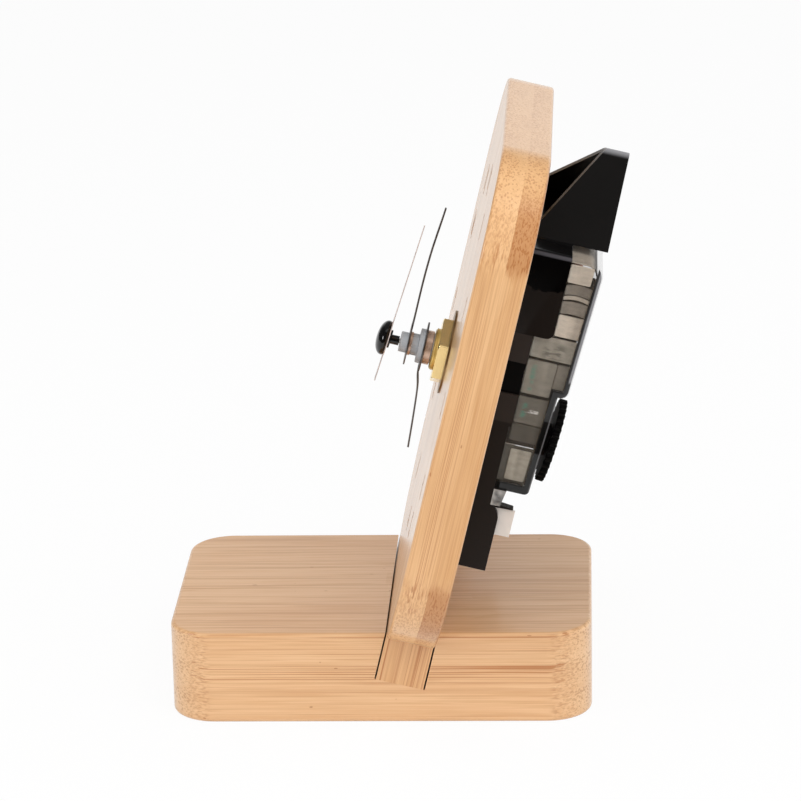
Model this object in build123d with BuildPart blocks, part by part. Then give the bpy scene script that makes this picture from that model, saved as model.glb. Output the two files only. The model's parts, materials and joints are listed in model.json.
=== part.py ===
from build123d import *
import os
from math import atan2, cos, degrees, hypot, radians, sin, sqrt

# Desk clock: a bamboo dial plate leans in the slot of a bamboo base and carries a quartz movement.
# Millimetres, +Z up, the dial looks along -Y, the origin is under the middle of the base.

# Base block
base_length = 87.5
base_width = 61.0
base_height = 19.6
base_corner_radius = 9.3
base_edge_radius = 0.8

# Dial plate and its slot
lean = 13.8
plate_width = 100.0
plate_height = 106.0
plate_thick = 10.0
plate_corner_radius = 22.0
plate_edge_radius = 0.7
axis_height = 52.7
slot_front = 1.7
slot_clearance = 0.3
tongue_depth = 10.3

# Fits
running_fit = 0.05
thread_fit = 0.1
hole_fit = 0.3
seat_gap = 0.2
fit_tolerance = 0.001

# Movement case, levels are depths behind the plate's back
case_width = 60.0
case_top = 34.1
case_bottom = 34.7
case_corner_radius = 1.2
shell_wall = 1.4
shell_floor = 1.4
upper_block_foot = 16.4
upper_block_depth = 8.7
mid_depth = 4.8
mid_foot = 3.3
low_depth = 4.4
block_corner_radius = 1.5
recess_top = 10.3
recess_foot = 3.5
recess_inset = 0.6
bay_step = 20.4
bay_step_run = 1.0
bay_depth = 6.6
bay_corner_radius = 3.2
bay_lip_wall = 1.1
rib_thick = 1.1
rib_depth = 5.4
finger_thick = 0.9
finger_tip_thick = 0.2
finger_drop = 0.5
finger_reach = 2.4
finger_depth = 9.3

# Rear cover
cover_wall = 1.1
cover_depth = 14.6
cover_swell = 1.2
cover_step = 4.5
cover_low_depth = 11.4
cover_low_swell = 1.1
cover_foot = 16.8
cover_top_radius = 3.5
cover_corner_radius = 1.7
cover_step_radius = 1.0
tab_drop = 3.6
tab_depth = 7.0
tab_taper = 0.6
pivot_boss = 3.0
pivot_boss_length = 0.9

# Hanger arch on top of the shell
hanger_apex = 51.0
hanger_inset = 7.7
hanger_thick = 1.5
hanger_depth = 16.8
hanger_foot_depth = 15.9
hanger_land = 4.4
hanger_land_radius = 2.0
hanger_foot_rise = 1.0
hanger_apex_radius = 3.0
hanger_root = 0.7

# Bushing, nut and washer
bushing_diameter = 8.9
bushing_reach = 3.45
bushing_flange = 13.0
bushing_flange_thick = 0.7
bushing_chamfer = 0.35
thread_pitch = 0.75
thread_groove = 0.25
nut_flats = 12.7
nut_sides = 6
nut_turn = 23.0
nut_thick = 2.1
washer_diameter = 17.7
washer_thick = 0.4

# Pipes and shaft
hour_tube_diameter = 6.4
hour_tube_wall = 0.85
minute_seat_diameter = 4.0
minute_spigot_diameter = 3.0
shaft_diameter = 1.3
shaft_tip_diameter = 1.0
arbor_diameter = 3.0
arbor_collar_diameter = 4.4
pivot_diameter = 0.8

# Hands, heights are in front of the plate's face
hour_collet_diameter = 7.2
hour_collet_height = 1.45
hour_hand_thick = 0.3
hour_ring_diameter = 7.3
hour_ring_height = 1.1
hour_hub_radius = 5.2
hour_hand_length = 22.3
hour_hand_width = 3.4
hour_tip_width = 1.4
hour_bend = 5.0
hour_bend_radius = 4.3
minute_gap = 1.4
minute_collet_diameter = 5.0
minute_collet_height = 0.6
minute_hand_thick = 0.25
minute_hub_radius = 4.8
minute_hand_length = 30.2
minute_hand_width = 2.8
minute_tip_width = 1.0
minute_bend = 1.9
minute_bend_radius = 3.2
minute_nut_diameter = 4.3
minute_nut_height = 1.65
second_tube_diameter = 2.0
second_tube_height = 1.75
second_flange_diameter = 3.9
second_flange_thick = 0.5
second_hand_thick = 0.2
second_hand_length = 25.6
second_tail_length = 9.4
second_hand_width = 1.6
second_tip_width = 0.5
second_hub_radius = 3.75
second_lean = 4.7
cap_diameter = 7.4
cap_height = 2.3

# Gear train, teeth and layers behind the plate's back
tooth_addendum = 0.7
tooth_dedendum = 1.05
tooth_root_share = 0.5
tooth_tip_share = 0.2
motion_module = 0.3
cannon_teeth = 15
minute_wheel_teeth = 45
minute_pinion_teeth = 12
hour_wheel_teeth = 48
set_pinion_teeth = 15
third_distance = 10.5
third_bearing = 205.0
second_pinion_teeth = 8
third_wheel_teeth = 60
third_pinion_teeth = 8
centre_wheel_teeth = 64
intermediate_distance = 10.5
intermediate_bearing = 60.0
second_wheel_teeth = 50
intermediate_pinion_teeth = 10
rotor_module = 0.25
rotor_bearing = 20.0
intermediate_wheel_teeth = 60
rotor_pinion_teeth = 10
layer_gap = 0.4
hour_wheel_thick = 1.0
motion_thick = 0.9
centre_thick = 1.0
third_thick = 0.8
second_thick = 0.8
intermediate_thick = 0.6
post_diameter = 0.9
post_shoulder = 1.2
post_proud = 0.25

# Setting knob
knob_drop = 13.9
knob_diameter = 17.9
knob_teeth = 32
knob_thick = 1.55
knob_gap = 3.1
knob_lean = 4.7
knob_hub_diameter = 7.0
knob_hub_gap = 0.7
stem_diameter = 2.2
stem_pivot_diameter = 1.4

# Stepper motor and circuit
magnet_diameter = 5.5
magnet_thick = 2.0
rotor_gap = 0.4
stator_thick = 0.8
stator_bar = 9.0
stator_arm = 6.0
stator_left = -14.0
stator_end_gap = 2.9
coil_height = 27.0
core_width = 2.2
core_thick = 0.8
coil_flange_diameter = 5.0
coil_diameter = 4.4
coil_tube_diameter = 3.2
coil_flange_thick = 0.8
coil_end_gap = 0.5
screw_diameter = 1.6
screw_head_diameter = 3.0
screw_head_thick = 0.8
screw_engagement = 3.0
boss_diameter = 3.8
board_end_gap = 0.8
board_wheel_gap = 4.3
board_foot = -2.0
board_length = 25.0
board_thick = 0.8
board_depth = 5.0
board_boss_diameter = 2.4
board_boss_inset = 2.4
chip_diameter = 5.0
chip_height = 1.2
chip_up = 13.0
quartz_diameter = 2.1
quartz_length = 6.2
quartz_up = 20.5
contact_thick = 0.4
contact_gap = 0.9
contact_height = 5.8
contact_clearance = 0.2
contact_depth = 9.8

# Planes: dial looks out of the plate's face, side cuts it along the middle
lean_sin = sin(radians(lean))
lean_cos = cos(radians(lean))
axis_point = (0, slot_front + axis_height * lean_sin, base_height + axis_height * lean_cos)
dial = Plane(origin=axis_point, x_dir=(1, 0, 0), z_dir=(0, -lean_cos, lean_sin))
side = Plane(origin=axis_point, x_dir=(0, lean_sin, lean_cos), z_dir=(1, 0, 0))
dial_axis = Axis(axis_point, dial.z_dir)
half_case = case_width / 2
inner_half = half_case - shell_wall


def deep(depth):
    """Height on the dial's axis of a level that lies behind the plate's back."""
    return -plate_thick - depth


def behind(near, far):
    """Span of heights on the dial's axis between two depths behind the plate's back."""
    return deep(far), deep(near)


def layer(near, thick):
    """Near and far depth of a layer of the movement."""
    return near, near + thick


def disc(span, diameter, bore=0.0, place=(0.0, 0.0), mode=Mode.ADD):
    """Round disc or tube over a span of heights on the dial's axis."""
    low, high = span
    with BuildSketch(dial.offset(low)) as outline:
        with Locations(place):
            Circle(diameter / 2)
            if bore > 0:
                Circle(bore / 2, mode=Mode.SUBTRACT)
    extrude(outline.sketch, amount=high - low, mode=mode)


def slab(span, left, right, foot, top, mode=Mode.ADD):
    """Block over a span of heights on the dial's axis, square to the plate."""
    low, high = span
    with BuildSketch(dial.offset(low)) as outline:
        with Locations(((left + right) / 2, (foot + top) / 2)):
            Rectangle(right - left, top - foot)
    extrude(outline.sketch, amount=high - low, mode=mode)


def profile(points, left, right, rounded=(), mode=Mode.ADD):
    """Prism across the clock from points of height up the plate and depth behind its back."""
    with BuildSketch(side.offset(left)) as outline:
        with BuildLine():
            Polyline([(up, deep(depth)) for up, depth in points], close=True)
        make_face()
        for index, radius in rounded:
            up, depth = points[index]
            corner = outline.vertices().sort_by_distance((up, deep(depth)))[0]
            fillet(corner, radius)
    extrude(outline.sketch, amount=right - left, mode=mode)


def gear_outline(teeth, module, phase, place):
    """Points of a gear with plain tapered teeth about a place, one tooth on the phase angle."""
    step = 360 / teeth
    pitch_radius = teeth * module / 2
    root = pitch_radius - tooth_dedendum * module
    tip = pitch_radius + tooth_addendum * module
    flank = [(root, tooth_root_share / 2), (tip, tooth_tip_share / 2)]
    points = []
    for tooth in range(teeth):
        points += [polar(radius, phase + step * (tooth - share), place) for radius, share in flank]
        points += [polar(radius, phase + step * (tooth + share), place) for radius, share in reversed(flank)]
    return points


def gear(span, teeth, module, phase, place=(0.0, 0.0)):
    """Toothed wheel over a span of heights on the dial's axis."""
    low, high = span
    with BuildSketch(dial.offset(low)) as outline:
        with BuildLine():
            Polyline(gear_outline(teeth, module, phase, place), close=True)
        make_face()
    extrude(outline.sketch, amount=high - low)


def meshed(teeth, phase, bearing, other_teeth):
    """Phase of the gear that a gear drives, so that its gap faces the driver's tooth at that bearing."""
    step = 360 / teeth
    offset = (phase - bearing + step / 2) % step - step / 2
    return bearing + 180 - offset * teeth / other_teeth + 180 / other_teeth


def polar(radius, bearing, start=(0.0, 0.0)):
    """Place at a radius and bearing from a start place."""
    return start[0] + radius * cos(radians(bearing)), start[1] + radius * sin(radians(bearing))


def leaning(height, up, angle):
    """Plane at a height on the axis and a place up the plate, whose upper side sinks towards the dial."""
    origin = dial.from_local_coords((0, up, height))
    normal = dial.z_dir * cos(radians(angle)) + dial.y_dir * sin(radians(angle))
    return Plane(origin=origin, x_dir=dial.x_dir, z_dir=normal)


def blade(plane, start, end, start_width, end_width, thick):
    """Flat tapered blade of a hand with a pointed end."""
    point = end + (end_width if end > start else -end_width)
    with BuildSketch(plane) as outline:
        with BuildLine():
            Polyline(
                [
                    (-start_width / 2, start),
                    (-end_width / 2, end),
                    (0, point),
                    (end_width / 2, end),
                    (start_width / 2, start),
                ],
                close=True,
            )
        make_face()
    extrude(outline.sketch, amount=thick)


def on_case_corner(edge):
    """Whether an edge runs along the dial's axis at an upper corner of the case."""
    place = dial.to_local_coords(edge.center())
    along = abs(edge.tangent_at(0.5).dot(dial.z_dir)) > 1 - fit_tolerance
    on_side = abs(abs(place.X) - half_case) < fit_tolerance
    return along and on_side and abs(place.Y - case_top) < fit_tolerance


def finish(piece, name):
    """Labels a finished piece and writes its STEP file."""
    piece.part.label = name
    export_step(piece.part, f"parts/{name}.step")


os.makedirs("parts", exist_ok=True)

# Layers of the train, each a near and a far depth behind the plate's back
hour_layer = layer(shell_floor + bushing_flange_thick + seat_gap, hour_wheel_thick)
motion_layer = layer(hour_layer[1] + layer_gap, motion_thick)
centre_layer = layer(motion_layer[1] + layer_gap + seat_gap, centre_thick)
third_layer = layer(centre_layer[1] + layer_gap, third_thick)
second_layer = layer(third_layer[1] + layer_gap, second_thick)
rotor_layer = layer(second_layer[1] + layer_gap, intermediate_thick)
magnet_layer = layer(rotor_layer[1] + layer_gap, magnet_thick)
stator_layer = layer((magnet_layer[0] + magnet_layer[1] - stator_thick) / 2, stator_thick)
core_layer = layer(stator_layer[0] - core_thick, core_thick)

# Places and phases of the gears
motion_distance = motion_module * (cannon_teeth + minute_wheel_teeth) / 2
set_distance = motion_module * (set_pinion_teeth + minute_wheel_teeth) / 2
hour_module = 2 * motion_distance / (hour_wheel_teeth + minute_pinion_teeth)
minute_wheel_drop = (motion_distance**2 - set_distance**2 + knob_drop**2) / (2 * knob_drop)
minute_wheel_place = (sqrt(motion_distance**2 - minute_wheel_drop**2), -minute_wheel_drop)
minute_wheel_bearing = degrees(atan2(minute_wheel_place[1], minute_wheel_place[0]))
knob_place = (0.0, -knob_drop)
set_bearing = degrees(atan2(knob_place[1] - minute_wheel_place[1], knob_place[0] - minute_wheel_place[0]))
third_place = polar(third_distance, third_bearing)
centre_module = 2 * third_distance / (centre_wheel_teeth + third_pinion_teeth)
third_module = 2 * third_distance / (third_wheel_teeth + second_pinion_teeth)
intermediate_place = polar(intermediate_distance, intermediate_bearing)
second_module = 2 * intermediate_distance / (second_wheel_teeth + intermediate_pinion_teeth)
rotor_distance = rotor_module * (intermediate_wheel_teeth + rotor_pinion_teeth) / 2
rotor_place = polar(rotor_distance, rotor_bearing, intermediate_place)

cannon_phase = minute_wheel_bearing
minute_wheel_phase = meshed(cannon_teeth, cannon_phase, minute_wheel_bearing, minute_wheel_teeth)
set_phase = meshed(minute_wheel_teeth, minute_wheel_phase, set_bearing, set_pinion_teeth)
minute_pinion_phase = minute_wheel_bearing + 180
hour_phase = meshed(minute_pinion_teeth, minute_pinion_phase, minute_wheel_bearing + 180, hour_wheel_teeth)
second_pinion_phase = third_bearing
third_wheel_phase = meshed(second_pinion_teeth, second_pinion_phase, third_bearing, third_wheel_teeth)
third_pinion_phase = third_bearing + 180
centre_phase = meshed(third_pinion_teeth, third_pinion_phase, third_bearing + 180, centre_wheel_teeth)
second_wheel_phase = intermediate_bearing
intermediate_pinion_phase = meshed(
    second_wheel_teeth, second_wheel_phase, intermediate_bearing, intermediate_pinion_teeth
)
intermediate_wheel_phase = rotor_bearing
rotor_phase = meshed(intermediate_wheel_teeth, intermediate_wheel_phase, rotor_bearing, rotor_pinion_teeth)

# Posts of the shell: place, top of the shoulder and top of the post
minute_post = (minute_wheel_place, hour_layer[0] - seat_gap, motion_layer[1] + post_proud)
third_post = (third_place, centre_layer[0] - seat_gap, third_layer[1] + post_proud)
intermediate_post = (intermediate_place, second_layer[0] - seat_gap, rotor_layer[1] + post_proud)
rotor_post = (rotor_place, rotor_layer[0] - seat_gap, magnet_layer[1] + post_proud)
post_bore = post_diameter + 2 * running_fit

# Ends of the motor and the board, set from the case's walls and the centre wheel
stator_right = half_case - cover_wall - stator_end_gap
board_left = board_end_gap - inner_half
board_right = -centre_module * (centre_wheel_teeth / 2 + tooth_addendum) - board_wheel_gap
board_middle = (board_left + board_right) / 2

# Screws of the coil's core
screw_places = [(stator_left + stator_arm / 2, coil_height), (stator_right - stator_arm / 2, coil_height)]

# Base block
slot_floor = -axis_height - tongue_depth
with BuildPart() as base:
    with BuildSketch():
        RectangleRounded(base_width, base_length, base_corner_radius)
    extrude(amount=base_height)
    fillet(base.edges().group_by(Axis.Z)[0] + base.edges().group_by(Axis.Z)[-1], base_edge_radius)
    with BuildSketch(side.offset(-base_width)) as slot:
        with BuildLine():
            Polyline(
                [
                    (slot_floor, slot_clearance),
                    (slot_floor, -plate_thick - slot_clearance),
                    (0, -plate_thick - slot_clearance),
                    (0, slot_clearance),
                ],
                close=True,
            )
        make_face()
    extrude(amount=2 * base_width, mode=Mode.SUBTRACT)
finish(base, "base")

# Dial plate with its tongue and the hole for the bushing
with BuildPart() as dial_plate:
    with BuildSketch(dial.offset(-plate_thick)):
        RectangleRounded(plate_width, plate_height, plate_corner_radius)
    extrude(amount=plate_thick)
    faces = dial_plate.faces().sort_by(dial_axis)
    fillet(faces[0].edges() + faces[-1].edges(), plate_edge_radius)
    slab((-plate_thick, 0), -base_width / 2, base_width / 2, slot_floor,
         plate_corner_radius - plate_height / 2)
    disc((-plate_thick, 0), bushing_diameter + 2 * hole_fit, mode=Mode.SUBTRACT)
finish(dial_plate, "dial_plate")

# Front shell: hanger arch first, then the case, its posts and bosses
hanger_root_height = case_top - hanger_root
hanger_slope = (hanger_apex - hanger_root_height) / (half_case - hanger_inset)
hanger_rise = hypot(1, hanger_slope) * hanger_thick
hanger_foot_width = hanger_rise / hanger_slope
bay_top = cover_foot + rib_thick
with BuildPart() as front_shell:
    with BuildSketch(dial.offset(deep(hanger_depth))) as arch:
        with BuildLine():
            Polyline(
                [
                    (hanger_inset - half_case, hanger_root_height),
                    (0, hanger_apex),
                    (half_case - hanger_inset, hanger_root_height),
                    (half_case - hanger_inset - hanger_foot_width, hanger_root_height),
                    (0, hanger_apex - hanger_rise),
                    (hanger_inset + hanger_foot_width - half_case, hanger_root_height),
                ],
                close=True,
            )
        make_face()
        fillet(arch.vertices().sort_by(Axis.Y)[-1], hanger_apex_radius)
    extrude(amount=hanger_depth)
    profile(
        [
            (hanger_root_height, 0),
            (hanger_root_height, upper_block_depth),
            (case_top + seat_gap, upper_block_depth),
            (case_top + seat_gap, hanger_foot_depth),
            (hanger_apex, hanger_depth),
            (hanger_apex, hanger_depth - hanger_land),
            (case_top + hanger_foot_rise, 0),
        ],
        -half_case,
        half_case,
        rounded=[(5, hanger_land_radius)],
        mode=Mode.INTERSECT,
    )
    profile(
        [
            (case_top, 0),
            (case_top, upper_block_depth),
            (upper_block_foot, upper_block_depth),
            (upper_block_foot, mid_depth),
            (-mid_foot, mid_depth),
            (-mid_foot, low_depth),
            (-bay_step, low_depth),
            (-bay_step - bay_step_run, bay_depth),
            (-case_bottom, bay_depth),
            (-case_bottom, 0),
        ],
        -half_case,
        half_case,
        rounded=[(2, block_corner_radius), (7, bay_corner_radius)],
    )
    fillet(front_shell.edges().filter_by(on_case_corner), case_corner_radius)
    slab(behind(shell_floor, cover_depth), -inner_half, inner_half, -cover_foot, case_top - shell_wall,
         mode=Mode.SUBTRACT)
    slab(behind(shell_floor, cover_depth), -inner_half, inner_half, bay_lip_wall - case_bottom, -bay_top,
         mode=Mode.SUBTRACT)
    slab(behind(shell_floor, rib_depth), -inner_half, inner_half, -bay_top, -cover_foot)
    for end in (-1, 1):
        slab(behind(0, mid_depth), end * half_case - recess_inset, end * half_case + recess_inset,
             recess_foot, recess_top, mode=Mode.SUBTRACT)
        near, far = sorted((end * (inner_half - finger_reach), end * inner_half))
        profile(
            [
                (-bay_step, shell_floor),
                (-bay_step, low_depth),
                (-bay_step - finger_drop, finger_depth),
                (-bay_step - finger_drop - finger_tip_thick, finger_depth),
                (-bay_step - finger_thick, low_depth),
                (-bay_step - finger_thick, shell_floor),
            ],
            near,
            far,
        )
    for place, shoulder, top in (minute_post, third_post, intermediate_post, rotor_post):
        disc(behind(shell_floor, shoulder), post_shoulder, place=place)
        disc(behind(shell_floor, top), post_diameter, place=place)
    for place in screw_places:
        disc(behind(shell_floor, core_layer[0]), boss_diameter, place=place)
        disc(behind(core_layer[0] - screw_engagement, core_layer[0]), screw_diameter, place=place,
             mode=Mode.SUBTRACT)
    for up in (board_foot + board_boss_inset, board_foot + board_length - board_boss_inset):
        disc(behind(shell_floor, board_depth), board_boss_diameter,
             place=(board_left + board_boss_inset, up))
    disc(behind(0, shell_floor), bushing_diameter, mode=Mode.SUBTRACT)
    disc(behind(0, shell_floor), stem_pivot_diameter + 2 * running_fit, place=knob_place,
         mode=Mode.SUBTRACT)
finish(front_shell, "front_shell")

# Clear rear cover with its snap tabs, stem hole and pivot boss
with BuildPart() as rear_cover:
    profile(
        [
            (case_top, upper_block_depth),
            (case_top, cover_depth + cover_swell),
            (cover_step, cover_depth),
            (cover_step, cover_low_depth + cover_low_swell),
            (-cover_foot, cover_low_depth),
            (-cover_foot, low_depth),
            (-mid_foot, low_depth),
            (-mid_foot, mid_depth),
            (upper_block_foot, mid_depth),
            (upper_block_foot, upper_block_depth),
        ],
        -half_case,
        half_case,
        rounded=[
            (1, cover_top_radius),
            (2, cover_corner_radius),
            (4, cover_step_radius),
            (9, block_corner_radius),
        ],
    )
    fillet(rear_cover.edges().filter_by(on_case_corner), case_corner_radius)
    profile(
        [
            (case_top - cover_wall, 0),
            (case_top - cover_wall, cover_depth + cover_swell - cover_wall),
            (cover_step + cover_wall, cover_depth - cover_wall),
            (cover_step + cover_wall, cover_low_depth + cover_low_swell - cover_wall),
            (cover_wall - cover_foot, cover_low_depth - cover_wall),
            (cover_wall - cover_foot, 0),
        ],
        cover_wall - half_case,
        half_case - cover_wall,
        rounded=[(1, cover_top_radius - cover_wall)],
        mode=Mode.SUBTRACT,
    )
    for left in (-half_case, half_case - cover_wall):
        profile(
            [
                (-cover_foot, low_depth),
                (-cover_foot, tab_depth),
                (-cover_foot - tab_drop, tab_depth - tab_taper),
                (-cover_foot - tab_drop, low_depth),
            ],
            left,
            left + cover_wall,
        )
    slab(behind(0, rib_depth), -inner_half, inner_half, -cover_foot, cover_wall - cover_foot,
         mode=Mode.SUBTRACT)
    disc(behind(cover_low_depth - cover_wall - pivot_boss_length, cover_low_depth), pivot_boss,
         bore=pivot_diameter + 2 * running_fit)
    disc(behind(0, cover_low_depth + cover_low_swell), stem_diameter + 2 * running_fit, place=knob_place,
         mode=Mode.SUBTRACT)
finish(rear_cover, "rear_cover")

# Threaded brass bushing
hour_bore = hour_tube_diameter + 2 * running_fit
with BuildPart() as threaded_bushing:
    disc((deep(shell_floor), bushing_reach), bushing_diameter, bore=hour_bore)
    disc(behind(shell_floor, shell_floor + bushing_flange_thick), bushing_flange, bore=hour_bore)
    chamfer(threaded_bushing.edges().filter_by(GeomType.CIRCLE).filter_by(
        lambda edge: edge.radius > hour_bore / 2
    ).sort_by(dial_axis)[-1], bushing_chamfer)
    groove_top = washer_thick + nut_thick + thread_pitch
    disc((groove_top - thread_pitch / 2, groove_top), bushing_diameter + thread_groove,
         bore=bushing_diameter - 2 * thread_groove, mode=Mode.SUBTRACT)
finish(threaded_bushing, "threaded_bushing")

# Steel washer and brass nut on the dial's front
with BuildPart() as washer:
    disc((0, washer_thick), washer_diameter, bore=bushing_diameter + 2 * thread_fit)
finish(washer, "washer")

with BuildPart() as hex_nut:
    with BuildSketch(dial.offset(washer_thick)):
        RegularPolygon(nut_flats / 2, nut_sides, major_radius=False, rotation=nut_turn)
        Circle(bushing_diameter / 2 + thread_fit, mode=Mode.SUBTRACT)
    extrude(amount=nut_thick)
finish(hex_nut, "hex_nut")

# Hour wheel with its tube, and the hour hand's pieces in front
hour_collet_low = bushing_reach + seat_gap
hour_hand_low = hour_collet_low + hour_collet_height
hour_ring_low = hour_hand_low + hour_hand_thick
hour_ring_high = hour_ring_low + hour_ring_height
hour_tube_bore = hour_tube_diameter - 2 * hour_tube_wall
with BuildPart() as hour_wheel:
    gear(behind(*hour_layer), hour_wheel_teeth, hour_module, hour_phase)
    disc((deep(hour_layer[0]), hour_ring_high), hour_tube_diameter)
    disc((deep(hour_layer[1]), hour_ring_high), hour_tube_bore, mode=Mode.SUBTRACT)
finish(hour_wheel, "hour_wheel")

with BuildPart() as hour_collet:
    disc((hour_collet_low, hour_hand_low), hour_collet_diameter, bore=hour_tube_diameter)
finish(hour_collet, "hour_collet")

with BuildPart() as hour_hand:
    disc((hour_hand_low, hour_ring_low), 2 * hour_hub_radius, bore=hour_tube_diameter)
    blade(leaning(hour_hand_low, -hour_bend_radius, -hour_bend), 0,
          hour_bend_radius + hour_tip_width - hour_hand_length, hour_hand_width, hour_tip_width,
          hour_hand_thick)
finish(hour_hand, "hour_hand")

with BuildPart() as hour_ring:
    disc((hour_ring_low, hour_ring_high), hour_ring_diameter, bore=hour_tube_diameter)
finish(hour_ring, "hour_ring")

# Minute pipe with the cannon pinion, and the minute hand's pieces in front
minute_pipe_diameter = hour_tube_bore - 2 * running_fit
minute_collet_low = hour_ring_high + minute_gap
minute_hand_low = minute_collet_low + minute_collet_height
minute_nut_low = minute_hand_low + minute_hand_thick
minute_nut_high = minute_nut_low + minute_nut_height
shaft_bore = shaft_diameter + 2 * running_fit
with BuildPart() as minute_pipe:
    gear(behind(*motion_layer), cannon_teeth, motion_module, cannon_phase)
    disc((deep(motion_layer[0]), minute_collet_low), minute_pipe_diameter)
    disc((minute_collet_low, minute_nut_low), minute_seat_diameter)
    disc((minute_nut_low, minute_nut_high), minute_spigot_diameter)
    disc(behind(motion_layer[1], centre_layer[0] - seat_gap), arbor_collar_diameter)
    disc(behind(centre_layer[0] - seat_gap, centre_layer[1]), arbor_diameter)
    disc((deep(centre_layer[1]), minute_nut_high), shaft_bore, mode=Mode.SUBTRACT)
finish(minute_pipe, "minute_pipe")

with BuildPart() as minute_collet:
    disc((minute_collet_low, minute_hand_low), minute_collet_diameter, bore=minute_seat_diameter)
finish(minute_collet, "minute_collet")

with BuildPart() as minute_hand:
    disc((minute_hand_low, minute_nut_low), 2 * minute_hub_radius, bore=minute_seat_diameter)
    blade(leaning(minute_hand_low, minute_bend_radius, minute_bend), 0,
          minute_hand_length - minute_bend_radius - minute_tip_width, minute_hand_width, minute_tip_width,
          minute_hand_thick)
finish(minute_hand, "minute_hand")

with BuildPart() as minute_nut:
    disc((minute_nut_low, minute_nut_high), minute_nut_diameter, bore=minute_spigot_diameter)
finish(minute_nut, "minute_nut")

# Second wheel with its pinion and shaft, and the second hand's pieces in front
second_tube_low = minute_nut_high + seat_gap
second_hand_low = second_tube_low + second_tube_height + second_flange_thick
with BuildPart() as second_wheel:
    gear(behind(*second_layer), second_wheel_teeth, second_module, second_wheel_phase)
    gear(behind(third_layer[0], second_layer[0]), second_pinion_teeth, third_module, second_pinion_phase)
    disc((deep(second_layer[0]), minute_nut_high), shaft_diameter)
    disc((minute_nut_high, second_hand_low), shaft_tip_diameter)
    disc(behind(second_layer[1], cover_low_depth - cover_wall - seat_gap), pivot_diameter)
finish(second_wheel, "second_wheel")

second_plane = leaning(second_hand_low, 0, second_lean)
with BuildPart() as second_tube:
    with BuildSketch(second_plane.offset(-second_flange_thick)):
        Circle(second_flange_diameter / 2)
    extrude(amount=second_flange_thick)
    disc((second_tube_low, second_hand_low - second_flange_thick), second_tube_diameter)
    disc((second_tube_low, second_hand_low), shaft_tip_diameter, mode=Mode.SUBTRACT)
finish(second_tube, "second_tube")

with BuildPart() as second_hand:
    with BuildSketch(second_plane):
        Circle(second_hub_radius)
    extrude(amount=second_hand_thick)
    blade(second_plane, 0, second_hand_length - second_tip_width, second_hand_width, second_tip_width,
          second_hand_thick)
    blade(second_plane, 0, second_hand_width - second_tail_length, second_hand_width, second_hand_width,
          second_hand_thick)
finish(second_hand, "second_hand")

cap_radius = cap_diameter / 2
cap_sphere_radius = (cap_radius**2 + cap_height**2) / (2 * cap_height)
cap_seat = second_plane.offset(second_hand_thick)
cap_section = Plane(origin=cap_seat.origin, x_dir=dial.x_dir, z_dir=-cap_seat.y_dir)
with BuildPart() as second_cap:
    with BuildSketch(cap_section):
        with BuildLine():
            RadiusArc((cap_radius, 0), (0, cap_height), -cap_sphere_radius)
            Line((0, cap_height), (0, 0))
            Line((0, 0), (cap_radius, 0))
        make_face()
    revolve(axis=Axis(cap_seat.origin, cap_seat.z_dir))
finish(second_cap, "second_cap")

# Wheels that turn on the shell's posts
with BuildPart() as minute_wheel:
    gear(behind(*motion_layer), minute_wheel_teeth, motion_module, minute_wheel_phase, minute_wheel_place)
    gear(behind(hour_layer[0], motion_layer[0]), minute_pinion_teeth, hour_module, minute_pinion_phase,
         minute_wheel_place)
    disc(behind(hour_layer[0], motion_layer[1]), post_bore, place=minute_wheel_place, mode=Mode.SUBTRACT)
finish(minute_wheel, "minute_wheel")

with BuildPart() as third_wheel:
    gear(behind(*third_layer), third_wheel_teeth, third_module, third_wheel_phase, third_place)
    gear(behind(centre_layer[0], third_layer[0]), third_pinion_teeth, centre_module, third_pinion_phase,
         third_place)
    disc(behind(centre_layer[0], third_layer[1]), post_bore, place=third_place, mode=Mode.SUBTRACT)
finish(third_wheel, "third_wheel")

with BuildPart() as centre_wheel:
    gear(behind(*centre_layer), centre_wheel_teeth, centre_module, centre_phase)
    disc(behind(*centre_layer), arbor_diameter + 2 * running_fit, mode=Mode.SUBTRACT)
finish(centre_wheel, "centre_wheel")

with BuildPart() as intermediate_wheel:
    gear(behind(*rotor_layer), intermediate_wheel_teeth, rotor_module, intermediate_wheel_phase,
         intermediate_place)
    gear(behind(second_layer[0], rotor_layer[0]), intermediate_pinion_teeth, second_module,
         intermediate_pinion_phase, intermediate_place)
    disc(behind(second_layer[0], rotor_layer[1]), post_bore, place=intermediate_place, mode=Mode.SUBTRACT)
finish(intermediate_wheel, "intermediate_wheel")

with BuildPart() as rotor_pinion:
    gear(behind(rotor_layer[0], magnet_layer[0]), rotor_pinion_teeth, rotor_module, rotor_phase,
         rotor_place)
    disc(behind(rotor_layer[0], magnet_layer[0]), post_bore, place=rotor_place, mode=Mode.SUBTRACT)
finish(rotor_pinion, "rotor_pinion")

with BuildPart() as rotor_magnet:
    disc(behind(*magnet_layer), magnet_diameter, bore=post_bore, place=rotor_place)
finish(rotor_magnet, "rotor_magnet")

# Setting knob, pressed on a little askew, with its hub, stem, pinion and pivot
knob_near = cover_low_depth + knob_gap
knob_module = knob_diameter / (knob_teeth + 2 * tooth_addendum)
with BuildPart() as set_knob:
    with BuildSketch(leaning(deep(knob_near + knob_thick), -knob_drop, knob_lean)):
        with BuildLine():
            Polyline(gear_outline(knob_teeth, knob_module, 0, (0.0, 0.0)), close=True)
        make_face()
    extrude(amount=knob_thick)
    disc(behind(cover_low_depth + knob_hub_gap, knob_near + knob_thick / 2), knob_hub_diameter,
         place=knob_place)
    disc(behind(motion_layer[1], knob_near), stem_diameter, place=knob_place)
    gear(behind(*motion_layer), set_pinion_teeth, motion_module, set_phase, knob_place)
    disc(behind(seat_gap, motion_layer[0]), stem_pivot_diameter, place=knob_place)
finish(set_knob, "set_knob")

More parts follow.
